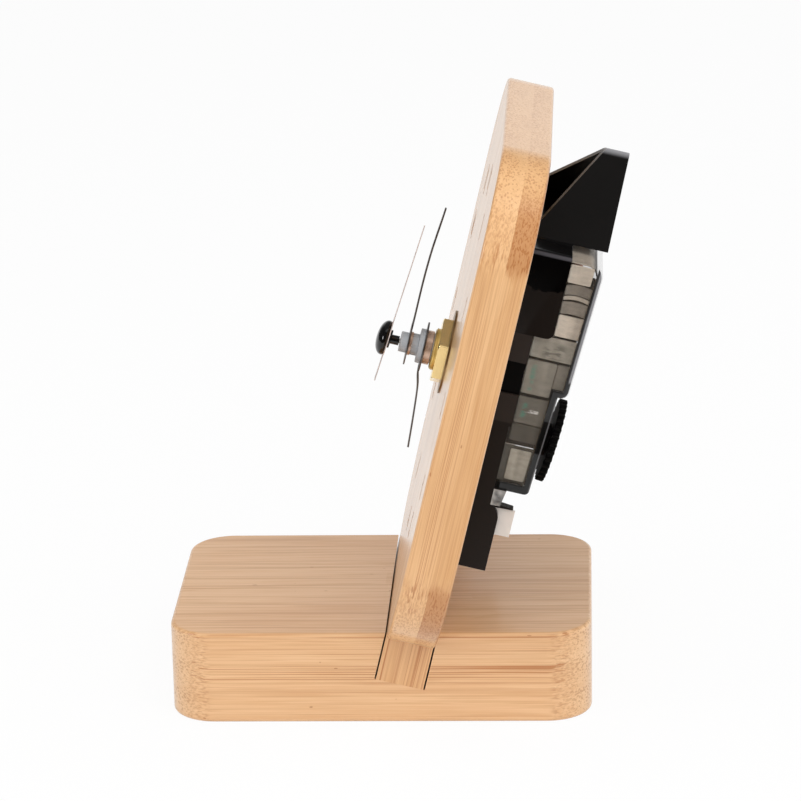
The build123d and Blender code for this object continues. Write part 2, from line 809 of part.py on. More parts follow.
# Stepper motor: stator plate, core strip, bobbin, winding and screws
stator_foot = rotor_place[1] - stator_bar / 2
stator_top = coil_height + stator_arm / 2
with BuildPart() as stator_plate:
    slab(behind(*stator_layer), stator_left, stator_right, stator_foot, stator_foot + stator_bar)
    for left in (stator_left, stator_right - stator_arm):
        slab(behind(*stator_layer), left, left + stator_arm, stator_foot, stator_top)
    disc(behind(*stator_layer), magnet_diameter + 2 * rotor_gap, place=rotor_place, mode=Mode.SUBTRACT)
    for place in screw_places:
        disc(behind(*stator_layer), screw_diameter + 2 * thread_fit, place=place, mode=Mode.SUBTRACT)
finish(stator_plate, "stator_plate")

with BuildPart() as coil_core:
    slab(behind(*core_layer), stator_left + stator_arm, stator_right - stator_arm,
         coil_height - core_width / 2, coil_height + core_width / 2)
    for left in (stator_left, stator_right - stator_arm):
        slab(behind(*core_layer), left, left + stator_arm, coil_height - stator_arm / 2,
             coil_height + stator_arm / 2)
    for place in screw_places:
        disc(behind(*core_layer), screw_diameter + 2 * thread_fit, place=place, mode=Mode.SUBTRACT)
finish(coil_core, "coil_core")

coil_left = stator_left + stator_arm + coil_end_gap
coil_right = stator_right - stator_arm - coil_end_gap
coil_axis = side.offset(coil_left)
coil_centre = (coil_height, deep((core_layer[0] + core_layer[1]) / 2))
coil_length = coil_right - coil_left
with BuildPart() as coil_bobbin:
    with BuildSketch(coil_axis):
        with Locations(coil_centre):
            Circle(coil_tube_diameter / 2)
    extrude(amount=coil_length)
    for start in (0, coil_length - coil_flange_thick):
        with BuildSketch(coil_axis.offset(start)):
            with Locations(coil_centre):
                Circle(coil_flange_diameter / 2)
        extrude(amount=coil_flange_thick)
    with BuildSketch(coil_axis):
        with Locations(coil_centre):
            Rectangle(core_width + 2 * running_fit, core_thick + 2 * running_fit)
    extrude(amount=coil_length, mode=Mode.SUBTRACT)
finish(coil_bobbin, "coil_bobbin")

with BuildPart() as coil_winding:
    with BuildSketch(coil_axis.offset(coil_flange_thick)):
        with Locations(coil_centre):
            Circle(coil_diameter / 2)
            Circle(coil_tube_diameter / 2, mode=Mode.SUBTRACT)
    extrude(amount=coil_length - 2 * coil_flange_thick)
finish(coil_winding, "coil_winding")

with BuildPart() as core_screws:
    for place in screw_places:
        disc(behind(core_layer[0] - screw_engagement, core_layer[0]), screw_diameter, place=place)
        disc(behind(core_layer[0], stator_layer[1]), screw_diameter, place=place)
        disc(behind(stator_layer[1], stator_layer[1] + screw_head_thick), screw_head_diameter, place=place)
finish(core_screws, "core_screws")

# Circuit board with its chip cap and quartz can
board_face = board_depth + board_thick
with BuildPart() as circuit_board:
    slab(behind(board_depth, board_face), board_left, board_right, board_foot,
         board_foot + board_length)
finish(circuit_board, "circuit_board")

with BuildPart() as chip_cap:
    disc(behind(board_face, board_face + chip_height), chip_diameter,
         place=(board_middle, board_foot + chip_up))
finish(chip_cap, "chip_cap")

with BuildPart() as quartz_can:
    with BuildSketch(side.offset(board_middle - quartz_length / 2)):
        with Locations((board_foot + quartz_up, deep(board_face + quartz_diameter / 2))):
            Circle(quartz_diameter / 2)
    extrude(amount=quartz_length)
finish(quartz_can, "quartz_can")

# Battery contacts at the two ends of the tray, under the fingers
contact_top = -bay_step - finger_thick - contact_clearance
for name, end in (("plus_contact", 1), ("minus_contact", -1)):
    near, far = sorted((end * (inner_half - contact_gap - contact_thick), end * (inner_half - contact_gap)))
    foot_near, foot_far = sorted((end * (inner_half - contact_gap), end * inner_half))
    with BuildPart() as contact:
        slab(behind(shell_floor, contact_depth), near, far, contact_top - contact_height, contact_top)
        slab(behind(shell_floor, shell_floor + contact_thick), foot_near, foot_far,
             contact_top - contact_height, contact_top)
    finish(contact, name)
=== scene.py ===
import json
from math import cos, radians, sin

import bmesh
import bpy
import numpy as np
from mathutils import Matrix, Vector


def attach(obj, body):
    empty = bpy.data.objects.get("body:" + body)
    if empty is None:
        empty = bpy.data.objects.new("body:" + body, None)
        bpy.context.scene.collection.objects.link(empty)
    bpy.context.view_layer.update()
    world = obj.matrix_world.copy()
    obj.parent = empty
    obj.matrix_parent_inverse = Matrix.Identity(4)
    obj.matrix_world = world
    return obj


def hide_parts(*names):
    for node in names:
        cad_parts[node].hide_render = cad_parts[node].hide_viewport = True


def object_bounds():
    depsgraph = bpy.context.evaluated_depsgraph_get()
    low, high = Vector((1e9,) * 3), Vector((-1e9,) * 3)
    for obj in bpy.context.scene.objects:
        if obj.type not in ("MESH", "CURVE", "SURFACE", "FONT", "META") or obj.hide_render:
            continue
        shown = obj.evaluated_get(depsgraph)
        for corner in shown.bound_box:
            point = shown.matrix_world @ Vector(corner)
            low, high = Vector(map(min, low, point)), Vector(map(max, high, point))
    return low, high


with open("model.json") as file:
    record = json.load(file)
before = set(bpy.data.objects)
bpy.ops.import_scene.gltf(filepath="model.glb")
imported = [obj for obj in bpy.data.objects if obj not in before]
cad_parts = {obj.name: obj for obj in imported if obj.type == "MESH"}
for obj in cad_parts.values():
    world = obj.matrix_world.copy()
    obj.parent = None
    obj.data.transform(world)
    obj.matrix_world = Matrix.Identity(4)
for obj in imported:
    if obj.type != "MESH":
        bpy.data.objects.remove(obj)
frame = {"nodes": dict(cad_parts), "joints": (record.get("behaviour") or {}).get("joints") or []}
cad_low, cad_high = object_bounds()

# Desk clock: a leaning bamboo plate in a bamboo base, with a quartz movement behind it and bare hands
# in front. Metres, +Z up, the dial looks along -Y. Sizes below are millimetres unless they say otherwise.
MM = 0.001
TO_MM = (1000, 1000, 1000)
TURN = 2 * np.pi

# Points this close are one, faces this flat are joined, and edges this sharp are not smoothed, in degrees
MERGE = 0.002
FLAT_ANGLE = 0.6
SHARP_ANGLE = 35

# Columns round a turned piece
ROUND_COLUMNS = 96
NUT_COLUMNS = 192

# Dial frame: across the plate, up the plate, and out of its face, from the place where the hands turn
minute_spin = next(joint for joint in frame["joints"] if joint["name"] == "minute_spin")
OUTWARD = -np.array(minute_spin["axis"])
ACROSS = np.array([1.0, 0.0, 0.0])
UPWARD = np.cross(OUTWARD, ACROSS)
TO_DIAL = np.array([ACROSS, UPWARD, OUTWARD])
LEAN = float(np.arctan2(UPWARD[1], UPWARD[2]))


def node_points(node):
    """Vertices of a CAD node as an array of row-frame points, in metres."""
    mesh = frame["nodes"][node].data
    flat = np.empty(3 * len(mesh.vertices), np.float32)
    mesh.vertices.foreach_get("co", flat)
    return flat.reshape(-1, 3).astype(float)


axis_place = np.array(minute_spin["pos_m"])
face_height = ((node_points("dial_plate") - axis_place) @ OUTWARD).max()
CENTRE = axis_place + face_height * OUTWARD


def dial_points(node):
    """Vertices of a CAD node in the dial frame, in millimetres from the middle of the face."""
    return (node_points(node) - CENTRE) @ TO_DIAL.T / MM


def span(node):
    """Lowest and highest corner of a CAD node in the dial frame."""
    local = dial_points(node)
    return local.min(0), local.max(0)


def on_dial(x, up, height):
    """Row-frame points, in metres, of arrays across, up and out of the dial, in millimetres."""
    local = np.stack(np.broadcast_arrays(x, up, height), -1).astype(float)
    return CENTRE + MM * local @ TO_DIAL


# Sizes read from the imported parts
BASE_HEIGHT = float(node_points("base")[:, 2].max()) / MM
SLOT_FLOOR = float(span("dial_plate")[0][1])
PLATE_THICK = float(span("dial_plate")[1][2] - span("dial_plate")[0][2])
CASE_TOP = float(span("rear_cover")[1][1])
HANGER_TOP = float(span("front_shell")[1][1])

# Sizes of the case and its clear cover: heights up from the axis and depths behind the plate's back
BLOCK_TOP = 34.1
UPPER_BLOCK_FOOT = 16.4
UPPER_BLOCK_DEPTH = 8.7
# Height below which the foot of the upper block is lightened as a painted reflection
REFLECTION_TOP = 26.0
MID_FOOT = -2.6
MID_DEPTH = 4.8
RECESS_FOOT = 3.5
RECESS_TOP = 10.3
COVER_WALL = 1.1
COVER_STEP = 4.5
COVER_FOOT = -16.8

# Rear walls of the cover, which lean: the foot and the depth there, the top and the depth there
UPPER_WALL = (COVER_STEP, 14.6, CASE_TOP, 15.8)
LOWER_WALL = (COVER_FOOT, 11.4, COVER_STEP, 12.5)


def wall_depth(wall, up):
    """Depth of the outside of a rear wall at a height up the plate, a number, an array or a wire."""
    foot, at_foot, top, at_top = wall
    return at_foot + (up - foot) * ((at_top - at_foot) / (top - foot))


def surface(points, close_rows=False):
    """Vertices and quads of a grid of points. Its columns run round and close on the first one, and its rows
    too with close_rows."""
    rows, columns = points.shape[:2]
    index = np.arange(rows * columns).reshape(rows, columns)
    index = np.concatenate([index, index[:, :1]], 1)
    if close_rows:
        index = np.concatenate([index, index[:1]], 0)
    quads = np.stack([index[:-1, :-1], index[:-1, 1:], index[1:, 1:], index[1:, :-1]], -1)
    return points.reshape(-1, 3), quads.reshape(-1, 4)


def piece(name, shells, material, body, stands_for=(), smooth_angle=SHARP_ANGLE, tones=None):
    """One object from shells of vertices and quads: doubles merged, faces turned outwards, riding on a body.
    The points of each shell keep its tones, if they are given."""
    starts = np.cumsum([0] + [len(points) for points, _ in shells])
    points = np.concatenate([points for points, _ in shells])
    quads = np.concatenate([quads + start for (_, quads), start in zip(shells, starts)])
    mesh = bpy.data.meshes.new(name)
    mesh.from_pydata(points, [], quads)
    if tones:
        values = np.concatenate(tones).astype(np.float32)
        mesh.attributes.new("tone", "FLOAT", "POINT").data.foreach_set("value", values)
    work = bmesh.new()
    work.from_mesh(mesh)
    bmesh.ops.remove_doubles(work, verts=work.verts, dist=MERGE * MM)
    bmesh.ops.dissolve_degenerate(work, edges=work.edges, dist=MERGE * MM)
    bmesh.ops.recalc_face_normals(work, faces=work.faces)
    work.to_mesh(mesh)
    work.free()
    settle(name, mesh, material, body, stands_for, smooth_angle)


def settle(name, mesh, material, body, stands_for=(), smooth_angle=SHARP_ANGLE):
    """Gives a mesh its object, finish, shading and body, and hides the CAD nodes that it stands for."""
    mesh.shade_smooth()
    mesh.set_sharp_from_angle(angle=radians(smooth_angle))
    mesh.materials.clear()
    mesh.materials.append(material)
    made = bpy.data.objects.new(name, mesh)
    bpy.context.scene.collection.objects.link(made)
    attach(made, body)
    if stands_for:
        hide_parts(*stands_for)
    return made


# Shader nodes as expressions


class Wire:
    """A node's output. Arithmetic on it adds Math nodes, and node() adds any other node to its tree."""

    def __init__(self, socket):
        self.socket = socket

    def node(self, kind, settings=None, sockets=None, output=0):
        """Adds a node, sets it up, fills its inputs with values or wires, and gives one of its outputs."""
        tree = self.socket.id_data
        made = tree.nodes.new("ShaderNode" + kind)
        for name, value in (settings or {}).items():
            setattr(made, name, value)
        for name, value in (sockets or {}).items():
            if isinstance(value, Wire):
                tree.links.new(value.socket, made.inputs[name])
            else:
                made.inputs[name].default_value = value
        return Wire(made.outputs[output])

    def math(self, operation, *values):
        """Math node of this value and others."""
        return self.node("Math", {"operation": operation}, dict(enumerate((self, *values))))

    def __add__(self, other):
        return self.math("ADD", other)

    def __sub__(self, other):
        return self.math("SUBTRACT", other)

    def __rsub__(self, other):
        return self.node("Math", {"operation": "SUBTRACT"}, {0: other, 1: self})

    def __mul__(self, other):
        return self.math("MULTIPLY", other)

    def __truediv__(self, other):
        return self.math("DIVIDE", other)

    def __rtruediv__(self, other):
        return self.node("Math", {"operation": "DIVIDE"}, {0: other, 1: self})

    def __gt__(self, other):
        return self.math("GREATER_THAN", other)

    def __or__(self, other):
        return self.math("MAXIMUM", other)

    def __abs__(self):
        return self.math("ABSOLUTE")

    __radd__ = __add__
    __rmul__ = __mul__

    def rise(self, low, high):
        """Smooth step from 0 at low to 1 at high."""
        return self.node("MapRange", {"interpolation_type": "SMOOTHSTEP"}, {0: self, 1: low, 2: high})

    def fall(self, low, high):
        """Smooth step from 1 at low to 0 at high."""
        sockets = {0: self, 1: low, 2: high, 3: 1.0, 4: 0.0}
        return self.node("MapRange", {"interpolation_type": "SMOOTHSTEP"}, sockets)

    def within(self, low, high, soft):
        """1 between low and high, with soft ends of this width."""
        return self.rise(low - soft / 2, low + soft / 2) * self.fall(high - soft / 2, high + soft / 2)

    def mix(self, first, second):
        """Colour that goes from first to second as this value goes from 0 to 1."""
        return self.node("Mix", {"data_type": "RGBA"}, {0: self, 6: first, 7: second}, 2)

    def parts(self):
        """The three parts of a vector."""
        return [self.node("SeparateXYZ", None, {0: self}, output) for output in range(3)]

    def dot(self, direction):
        """Share of this vector along a direction."""
        return self.node("VectorMath", {"operation": "DOT_PRODUCT"}, {0: self, 1: tuple(direction)}, 1)

    def noise(self, scale=1.0, detail=2.0, roughness=0.5):
        """Noise between 0 and 1 at this vector."""
        sockets = {"Vector": self, "Scale": scale, "Detail": detail, "Roughness": roughness}
        return self.node("TexNoise", None, sockets)

    def bump(self, height_mm, strength=1.0):
        """Normal of a surface raised by this value times a height."""
        return self.node("Bump", None, {"Strength": strength, "Distance": height_mm * MM, "Height": self})


def srgb(red, green, blue):
    """Colour as a shader wants it, from display values of 0 to 255."""
    shown = np.array([red, green, blue]) / 255
    linear = np.where(shown <= 0.04045, shown / 12.92, ((shown + 0.055) / 1.055) ** 2.4)
    return (*(float(part) for part in linear), 1.0)


def dimmed(colour, share):
    """The same colour at a share of its brightness."""
    return tuple(share * part for part in colour[:3]) + (1.0,)


def new_finish(name):
    """New material, its Principled shader, and its object coordinates and normal."""
    material = bpy.data.materials.new(name)
    material.use_nodes = True
    shader = material.node_tree.nodes["Principled BSDF"]
    coordinates = material.node_tree.nodes.new("ShaderNodeTexCoord")
    return material, shader, Wire(coordinates.outputs["Object"]), Wire(coordinates.outputs["Normal"])


def turned_mm(place, turn):
    """Object coordinates in millimetres, turned about X to run along the grain or the plate."""
    return place.node("Mapping", None, {"Vector": place, "Rotation": (turn, 0, 0), "Scale": TO_MM})


def dial_mm(place):
    """Object coordinates in millimetres from the middle of the face: across, behind it and up the plate."""
    shift = (0.0, float(CENTRE @ OUTWARD) / MM, -float(CENTRE @ UPWARD) / MM)
    sockets = {"Vector": place, "Location": shift, "Rotation": (LEAN, 0, 0), "Scale": TO_MM}
    return place.node("Mapping", None, sockets)


def feed(shader, **sockets):
    """Sets the shader's sockets, named with underscores for spaces, to values or wires."""
    for name, value in sockets.items():
        target = shader.inputs[name.replace("_", " ")]
        if isinstance(value, Wire):
            shader.id_data.links.new(value.socket, target)
        else:
            target.default_value = value


# Finishes

# Bamboo: width of a strip, thickness of a layer, and breadth and length of a bundle of fibres
STRIP = 19.0
BASE_LAYER = 6.6
PLATE_LAYER = 5.5
BUNDLE = 0.52
BUNDLE_RUN = 24.0

# Tones of the wood: light and middle ground, streaks, drawn lines and dots
BASE_TONES = (
    srgb(231, 190, 145),
    srgb(215, 166, 118),
    srgb(186, 130, 80),
    srgb(172, 104, 50),
    srgb(160, 98, 50),
)
PLATE_TONES = (
    srgb(228, 182, 132),
    srgb(208, 156, 103),
    srgb(182, 124, 72),
    srgb(168, 98, 44),
    srgb(164, 100, 48),
)
# Painted shade on the walls of the base's slot, and the gap there round the plate
SLOT_SHADE = srgb(52, 28, 14)
SLOT_GAP = 0.34
PLATE_COAT = 0.86
COAT_ROUGHNESS = 0.2


def bamboo(name, grain, stack_axis, layer, places, tones, streaks, coat, hollow=None, back_shade=0.0):
    """Laminated bamboo under lacquer. Bundles of fibres run along the grain as long thin cells, so they are
    streaks on the long faces and dots on the ends. Drawn lines gather on the skin side of each layer, each
    layer and strip has its own tone, and rounded ends show grit. places gives millimetres across, through the
    layers and along the grain, streaks and coat are the weights of the streaks on broad faces and of the
    lacquer, hollow gives where the wood is in deep shade, and back_shade darkens the corners of the second
    layer."""
    material, shader, place, normal = new_finish(name)
    across, stack, along = places(place)

    def at(step_across, step_stack, step_along):
        """Vector of the three coordinates with a scale for each."""
        parts = {0: across * step_across, 1: stack * step_stack, 2: along * step_along}
        return place.node("CombineXYZ", None, parts)

    wave = at(0.05, 0.05, 0.010).noise(1.0, 2.0) - 0.5
    across = across + wave * 1.6
    stack = stack + wave * 1.1
    depth = stack / layer
    layer_number = depth.math("FLOOR")
    skin = 1 - depth.math("FRACT")
    strip = (across / STRIP + layer_number * 0.37).math("FLOOR")
    key = place.node("CombineXYZ", None, {0: strip, 1: layer_number})
    strip_tone = place.node("TexWhiteNoise", {"noise_dimensions": "3D"}, {"Vector": key})

    along_grain = abs(normal.dot(grain))
    end = along_grain.rise(0.25, 0.75)
    rounding = along_grain.rise(0.04, 0.20) * along_grain.fall(0.55, 0.90)
    broad = abs(normal.dot(stack_axis)).rise(0.5, 0.9)
    long_side = (1 - broad) * (1 - end)
    back = back_shade * layer_number.rise(0.4, 0.6)

    cells = at(1 / BUNDLE, 1 / BUNDLE, 1 / BUNDLE_RUN)
    bundle = place.node("TexVoronoi", None, {"Vector": cells, "Scale": 1.0})
    radius = 0.16 + 0.22 * skin
    fibre = bundle.fall(radius, radius + 0.18)
    fine = at(2.4, 2.4, 0.045).noise(1.0, 4.0, 0.65)
    cloud = at(0.10, 0.25, 0.025).noise(1.0, 2.0)
    crowd = at(0.05, 0.42, 0.004).noise(1.0, 1.0).rise(0.38, 0.56) * (0.4 + 0.6 * skin)
    line = at(1.2, 3.6, 0.006).noise(1.0, 2.0, 0.55).rise(0.535, 0.60) * crowd * long_side
    hair = at(1.5, 6.5, 0.010).noise(1.0, 1.0).rise(0.58, 0.66) * long_side
    streak = at(1.0, 2.0, 0.016).noise(1.0, 3.0, 0.6).rise(0.52, 0.62) * broad * (1 - end)
    grit = at(3.0, 3.0, 0.35).noise(1.0, 2.0).rise(0.50, 0.62) * rounding
    fleck = at(1.1, 1.1, 0.45).noise(1.0, 0.0).rise(0.83, 0.86) * (1 - end)

    light, mid, streak_tone, line_tone, dot_tone = tones
    tone = 0.45 + 1.7 * (fine - 0.5) + 1.0 * (cloud - 0.5) + 0.35 * (strip_tone - 0.5) - 0.25 * end
    ground = (rounding * back).mix(tone.mix(light, mid), streak_tone)
    streaked = (fibre * (1 - end) * 0.2 | streak * streaks).mix(ground, streak_tone)
    lined = (line * 0.85 | hair * 0.3).mix(streaked, line_tone)
    dotted = (fibre * end * 0.45 | grit * (0.3 + 0.6 * back)).mix(lined, dot_tone)
    colour = (fleck * 0.6).mix(dotted, dot_tone)
    # Painted shade on the walls of the slot
    if hollow:
        colour = hollow(place).mix(colour, SLOT_SHADE)
    feed(
        shader,
        Base_Color=colour,
        Roughness=0.42 + 0.3 * (fine - 0.5) + 0.06 * fibre,
        Specular_IOR_Level=0.3,
        Coat_Weight=coat + 0.15 * (cloud - 0.5),
        Coat_Roughness=COAT_ROUGHNESS,
        Normal=((fine * 0.7 - fibre * 0.4 - line * 0.5) * (1 - 0.8 * end)).bump(0.03, 0.25),
    )
    return material


def base_places(place):
    """Base block: across it, down from its top, and along its length from the rear."""
    across, up, along = turned_mm(place, radians(90)).parts()
    return across, up + BASE_HEIGHT, along * -1.0


def plate_places(place):
    """Dial plate: across it, back from its face, and up it."""
    return dial_mm(place).parts()


def in_slot(place):
    """1 on the walls and floor of the base's slot, and 0 on its outside."""
    _, behind, up = dial_mm(place).parts()
    level = turned_mm(place, 0).parts()[2]
    inside = behind.within(-SLOT_GAP, PLATE_THICK + SLOT_GAP, 0.04) * (up > SLOT_FLOOR + 0.05)
    return inside * level.fall(BASE_HEIGHT - 1.0, BASE_HEIGHT - 0.2)


def moulded(name, colour, roughness, grain_mm=0.35, depth_mm=0.012, specular=0.5, coat=0.0):
    """Moulded plastic or ink with a fine grain and slightly cloudy tone, under lacquer of weight coat."""
    material, shader, place, _ = new_finish(name)
    mm = turned_mm(place, 0)
    skin = mm.noise(1 / grain_mm, 2.0)
    cloud = mm.noise(0.08, 2.0)
    feed(
        shader,
        Base_Color=cloud.mix(dimmed(colour, 0.82), colour),
        Roughness=roughness + 0.10 * (skin - 0.5) + 0.06 * (cloud - 0.5),
        Specular_IOR_Level=specular,
        Coat_Weight=coat,
        Coat_Roughness=COAT_ROUGHNESS,
        Normal=skin.bump(depth_mm, 0.5),
    )
    return material


def case_black(name):
    """Black moulded case, by the height up the plate: a painted highlight on the hanger's ridge, glossy on
    the upper block with a painted highlight on its top edge and a painted reflection that lightens its foot,
    grained matt below it, painted shade that blackens the recess and satin elsewhere."""
    material, shader, place, _ = new_finish(name)
    mm = dial_mm(place)
    _, _, up = mm.parts()
    skin = mm.noise(2.8, 2.0)
    cloud = mm.noise(0.08, 2.0)
    block = up.within(UPPER_BLOCK_FOOT, CASE_TOP + 0.3, 0.2)
    # Painted reflection: the foot of the upper block is made lighter below a wavy line
    foot_reflection = block * (up + 5.0 * (mm.noise(0.3, 2.0) - 0.5)).fall(REFLECTION_TOP - 0.4, REFLECTION_TOP + 0.4)
    recess = up.within(RECESS_FOOT, RECESS_TOP, 0.2)
    matt = up.within(MID_FOOT, UPPER_BLOCK_FOOT, 0.2) * (1 - recess)
    low = up.fall(MID_FOOT - 0.1, MID_FOOT + 0.1)
    # Painted highlight along the hanger's ridge
    ridge = up.rise(HANGER_TOP - 0.9, HANGER_TOP + 0.2)
    # Painted highlight along the top edge of the upper block
    edge = up.within(BLOCK_TOP - 0.9, BLOCK_TOP - 0.25, 0.35) * 0.8
    plain = cloud.mix(srgb(11, 10, 9), srgb(17, 15, 14))
    # Painted shade makes the recess black; the upper block is black in its own right
    dark = (block | recess).mix(plain, srgb(3, 2, 2))
    # Grained matt colour below the block, and the painted reflection on the block's foot
    matt_and_reflection = (foot_reflection * 0.8 | matt).mix(dark, srgb(44, 37, 33))
    moulding = (low * 0.75).mix((foot_reflection * 0.6).mix(matt_and_reflection, srgb(16, 13, 11)), srgb(35, 28, 23))
    feed(
        shader,
        Base_Color=ridge.mix(edge.mix(moulding, srgb(76, 75, 80)), srgb(150, 149, 152)),
        Roughness=0.34 - 0.16 * block + 0.2 * matt + 0.10 * (skin - 0.5) + 0.06 * (cloud - 0.5),
        Specular_IOR_Level=0.17,
        Normal=(skin * (1 - 0.8 * block)).bump(0.012, 0.5),
    )
    return material


def machined(name, colour, roughness, metallic=1.0, tarnish=0.8):
    """Turned or drawn metal: fine tool lines round the dial's axis and a faint tarnish."""
    material, shader, place, _ = new_finish(name)
    across, out, up = turned_mm(place, LEAN).parts()
    lines = place.node("CombineXYZ", None, {0: across * 0.15, 1: out * 9.0, 2: up * 0.15}).noise(1.0, 2.0)
    cloud = turned_mm(place, 0).noise(0.35, 3.0)
    feed(
        shader,
        Base_Color=cloud.rise(0.3, 0.7).mix(dimmed(colour, tarnish), colour),
        Metallic=metallic,
        Roughness=roughness + 0.16 * (lines - 0.5) + 0.10 * (cloud - 0.5),
        Normal=lines.bump(0.01, 0.4),
    )
    return material


# Width of the cover's dark rim, and how opaque its parts are
RIM = 1.35
CLEAR_ALPHA = 0.12
RIM_ALPHA = 0.96
TAB_ALPHA = 0.75


def smoked(name, colour):
    """Thin smoky clear plastic that light goes straight through. On faces marked side_wall it is painted dark
    along the rear and the foot, painted shade where the wall that closes it runs away from the eye, with a
    paler outer line on the rear edge as a painted highlight. The snap tabs below the foot are a whitish
    grey with painted glints."""
    material, shader, place, _ = new_finish(name)
    mm = dial_mm(place)
    _, behind, up = mm.parts()
    depth = behind - PLATE_THICK
    high = up > COVER_STEP
    lower = wall_depth(LOWER_WALL, up)
    inward = lower + high * (wall_depth(UPPER_WALL, up) - lower) - depth
    lift = up - COVER_FOOT - (COVER_STEP - COVER_FOOT) * (depth > LOWER_WALL[3] - RIM)
    side = place.node("Attribute", {"attribute_name": "side_wall"}, None, "Fac")
    tab = up.fall(COVER_FOOT - 0.2, COVER_FOOT - 0.1)
    # Painted shade: dark bands on the side walls along the rear and the foot, where the closing wall runs
    # away from the eye
    rim = (inward.fall(RIM - 0.15, RIM + 0.15) | lift.fall(RIM + 0.2, RIM + 0.4)) * side * (1 - tab)
    # Painted highlight: paler lines along the rear edges of the upper and lower walls
    pale = inward.fall(0.75, 0.95) * up.rise(8.0, 8.8) | inward.fall(0.15, 0.35) * (1 - high) * 0.5
    cloud = mm.noise(0.11, 2.0)
    ripple = mm.noise(0.6, 2.0)
    clear = cloud.rise(0.3, 0.7).mix(dimmed(colour, 0.6), colour)
    edged = rim.mix(clear, (pale * side).mix(srgb(15, 14, 13), srgb(124, 123, 126)))
    # Tabs: a whitish grey with lighter patches that are painted glints
    tab_tone_and_glints = mm.noise(0.45, 1.0).rise(0.35, 0.70).mix(srgb(96, 94, 92), srgb(196, 194, 190))
    opaque = (RIM_ALPHA - CLEAR_ALPHA) * rim + (TAB_ALPHA - CLEAR_ALPHA) * tab
    feed(
        shader,
        Base_Color=tab.mix(edged, tab_tone_and_glints),
        Roughness=0.16 + 0.08 * ripple,
        Specular_IOR_Level=0.0,
        Coat_Weight=0.8 - 0.5 * rim,
        Coat_Roughness=0.15,
        Alpha=CLEAR_ALPHA + 0.06 * (cloud - 0.5) + opaque,
        Normal=ripple.bump(0.03, 0.3),
    )
    return material


# Marks on the pads: where each is up the plate and behind its back, with the width of its soft ends
DARK_PATCH_UP = (12.2, 15.4, 1.2)
DARK_PATCH_DEPTH = (7.5, 12.0, 2.0)
UPPER_CAST_UP = (4.8, 10.3, 0.8)
LOWER_CAST_UP = (-1.4, 2.0, 0.6)
CAST_DEPTH = (6.1, 7.0, 0.8)
GLINT_UP = (0.1, 0.7, 0.3)
GLINT_DEPTH = (6.8, 9.5, 0.4)


def padded_tones(name):
    """Pads behind the clear cover: the tone that their points carry, broken into upright strips, with a
    darker patch, and on the near side a green cast of the circuit board and a small white glint."""
    material, shader, place, _ = new_finish(name)
    tone = place.node("Attribute", {"attribute_name": "tone"}, None, "Fac")
    mm = dial_mm(place)
    across, behind, up = mm.parts()
    depth = behind - PLATE_THICK
    strips = place.node("CombineXYZ", None, {0: depth * 0.6, 1: up * 0.05}).noise(1.0, 1.0)
    smear = place.node("CombineXYZ", None, {0: depth * 0.4, 1: up * 1.2, 2: across}).noise(1.0, 3.0)
    dark_patch = up.within(*DARK_PATCH_UP) * depth.within(*DARK_PATCH_DEPTH) * smear.rise(0.42, 0.56)
    near = across.rise(0.0, 1.0)
    cast = depth.within(*CAST_DEPTH) * (up.within(*UPPER_CAST_UP) | up.within(*LOWER_CAST_UP))
    glint = depth.within(*GLINT_DEPTH) * up.within(*GLINT_UP) * smear.rise(0.45, 0.55)
    value = tone * (1.0 + 0.7 * (strips - 0.5) + 0.6 * (smear - 0.5)) * (1 - 0.55 * dark_patch)
    light = up.rise(15.0, 18.0).mix(srgb(230, 223, 206), srgb(240, 226, 208))
    shade = value.mix(srgb(26, 21, 17), light)
    green = (cast * smear.rise(0.40, 0.60) * near * 0.55).mix(shade, srgb(64, 158, 136))
    feed(
        shader,
        Base_Color=(glint * near * 0.8).mix(green, srgb(250, 248, 244)),
        Roughness=0.4 + 0.1 * smear,
        Normal=smear.bump(0.03, 0.3),
    )
    return material


def wound(name, colour):
    """Lacquered copper wire, with its turns side by side across the clock."""
    material, shader, place, _ = new_finish(name)
    mm = turned_mm(place, 0)
    coils = mm.node("TexWave", {"bands_direction": "X"}, {"Vector": mm, "Scale": 1.1, "Distortion": 0.4})
    feed(
        shader,
        Base_Color=coils.mix(dimmed(colour, 0.45), colour),
        Metallic=0.7,
        Roughness=0.32 + 0.1 * coils,
        Normal=coils.bump(0.05),
    )
    return material


def etched(name, mask, track):
    """Circuit board: a green mask over paler tracks."""
    material, shader, place, _ = new_finish(name)
    mm = turned_mm(place, LEAN)
    maze = mm.node("TexBrick", None, {"Vector": mm, "Scale": 0.55, "Mortar Size": 0.035}, 1)
    feed(shader, Base_Color=maze.mix(mask, track), Roughness=0.35 + 0.1 * maze, Normal=maze.bump(0.03))
    return material


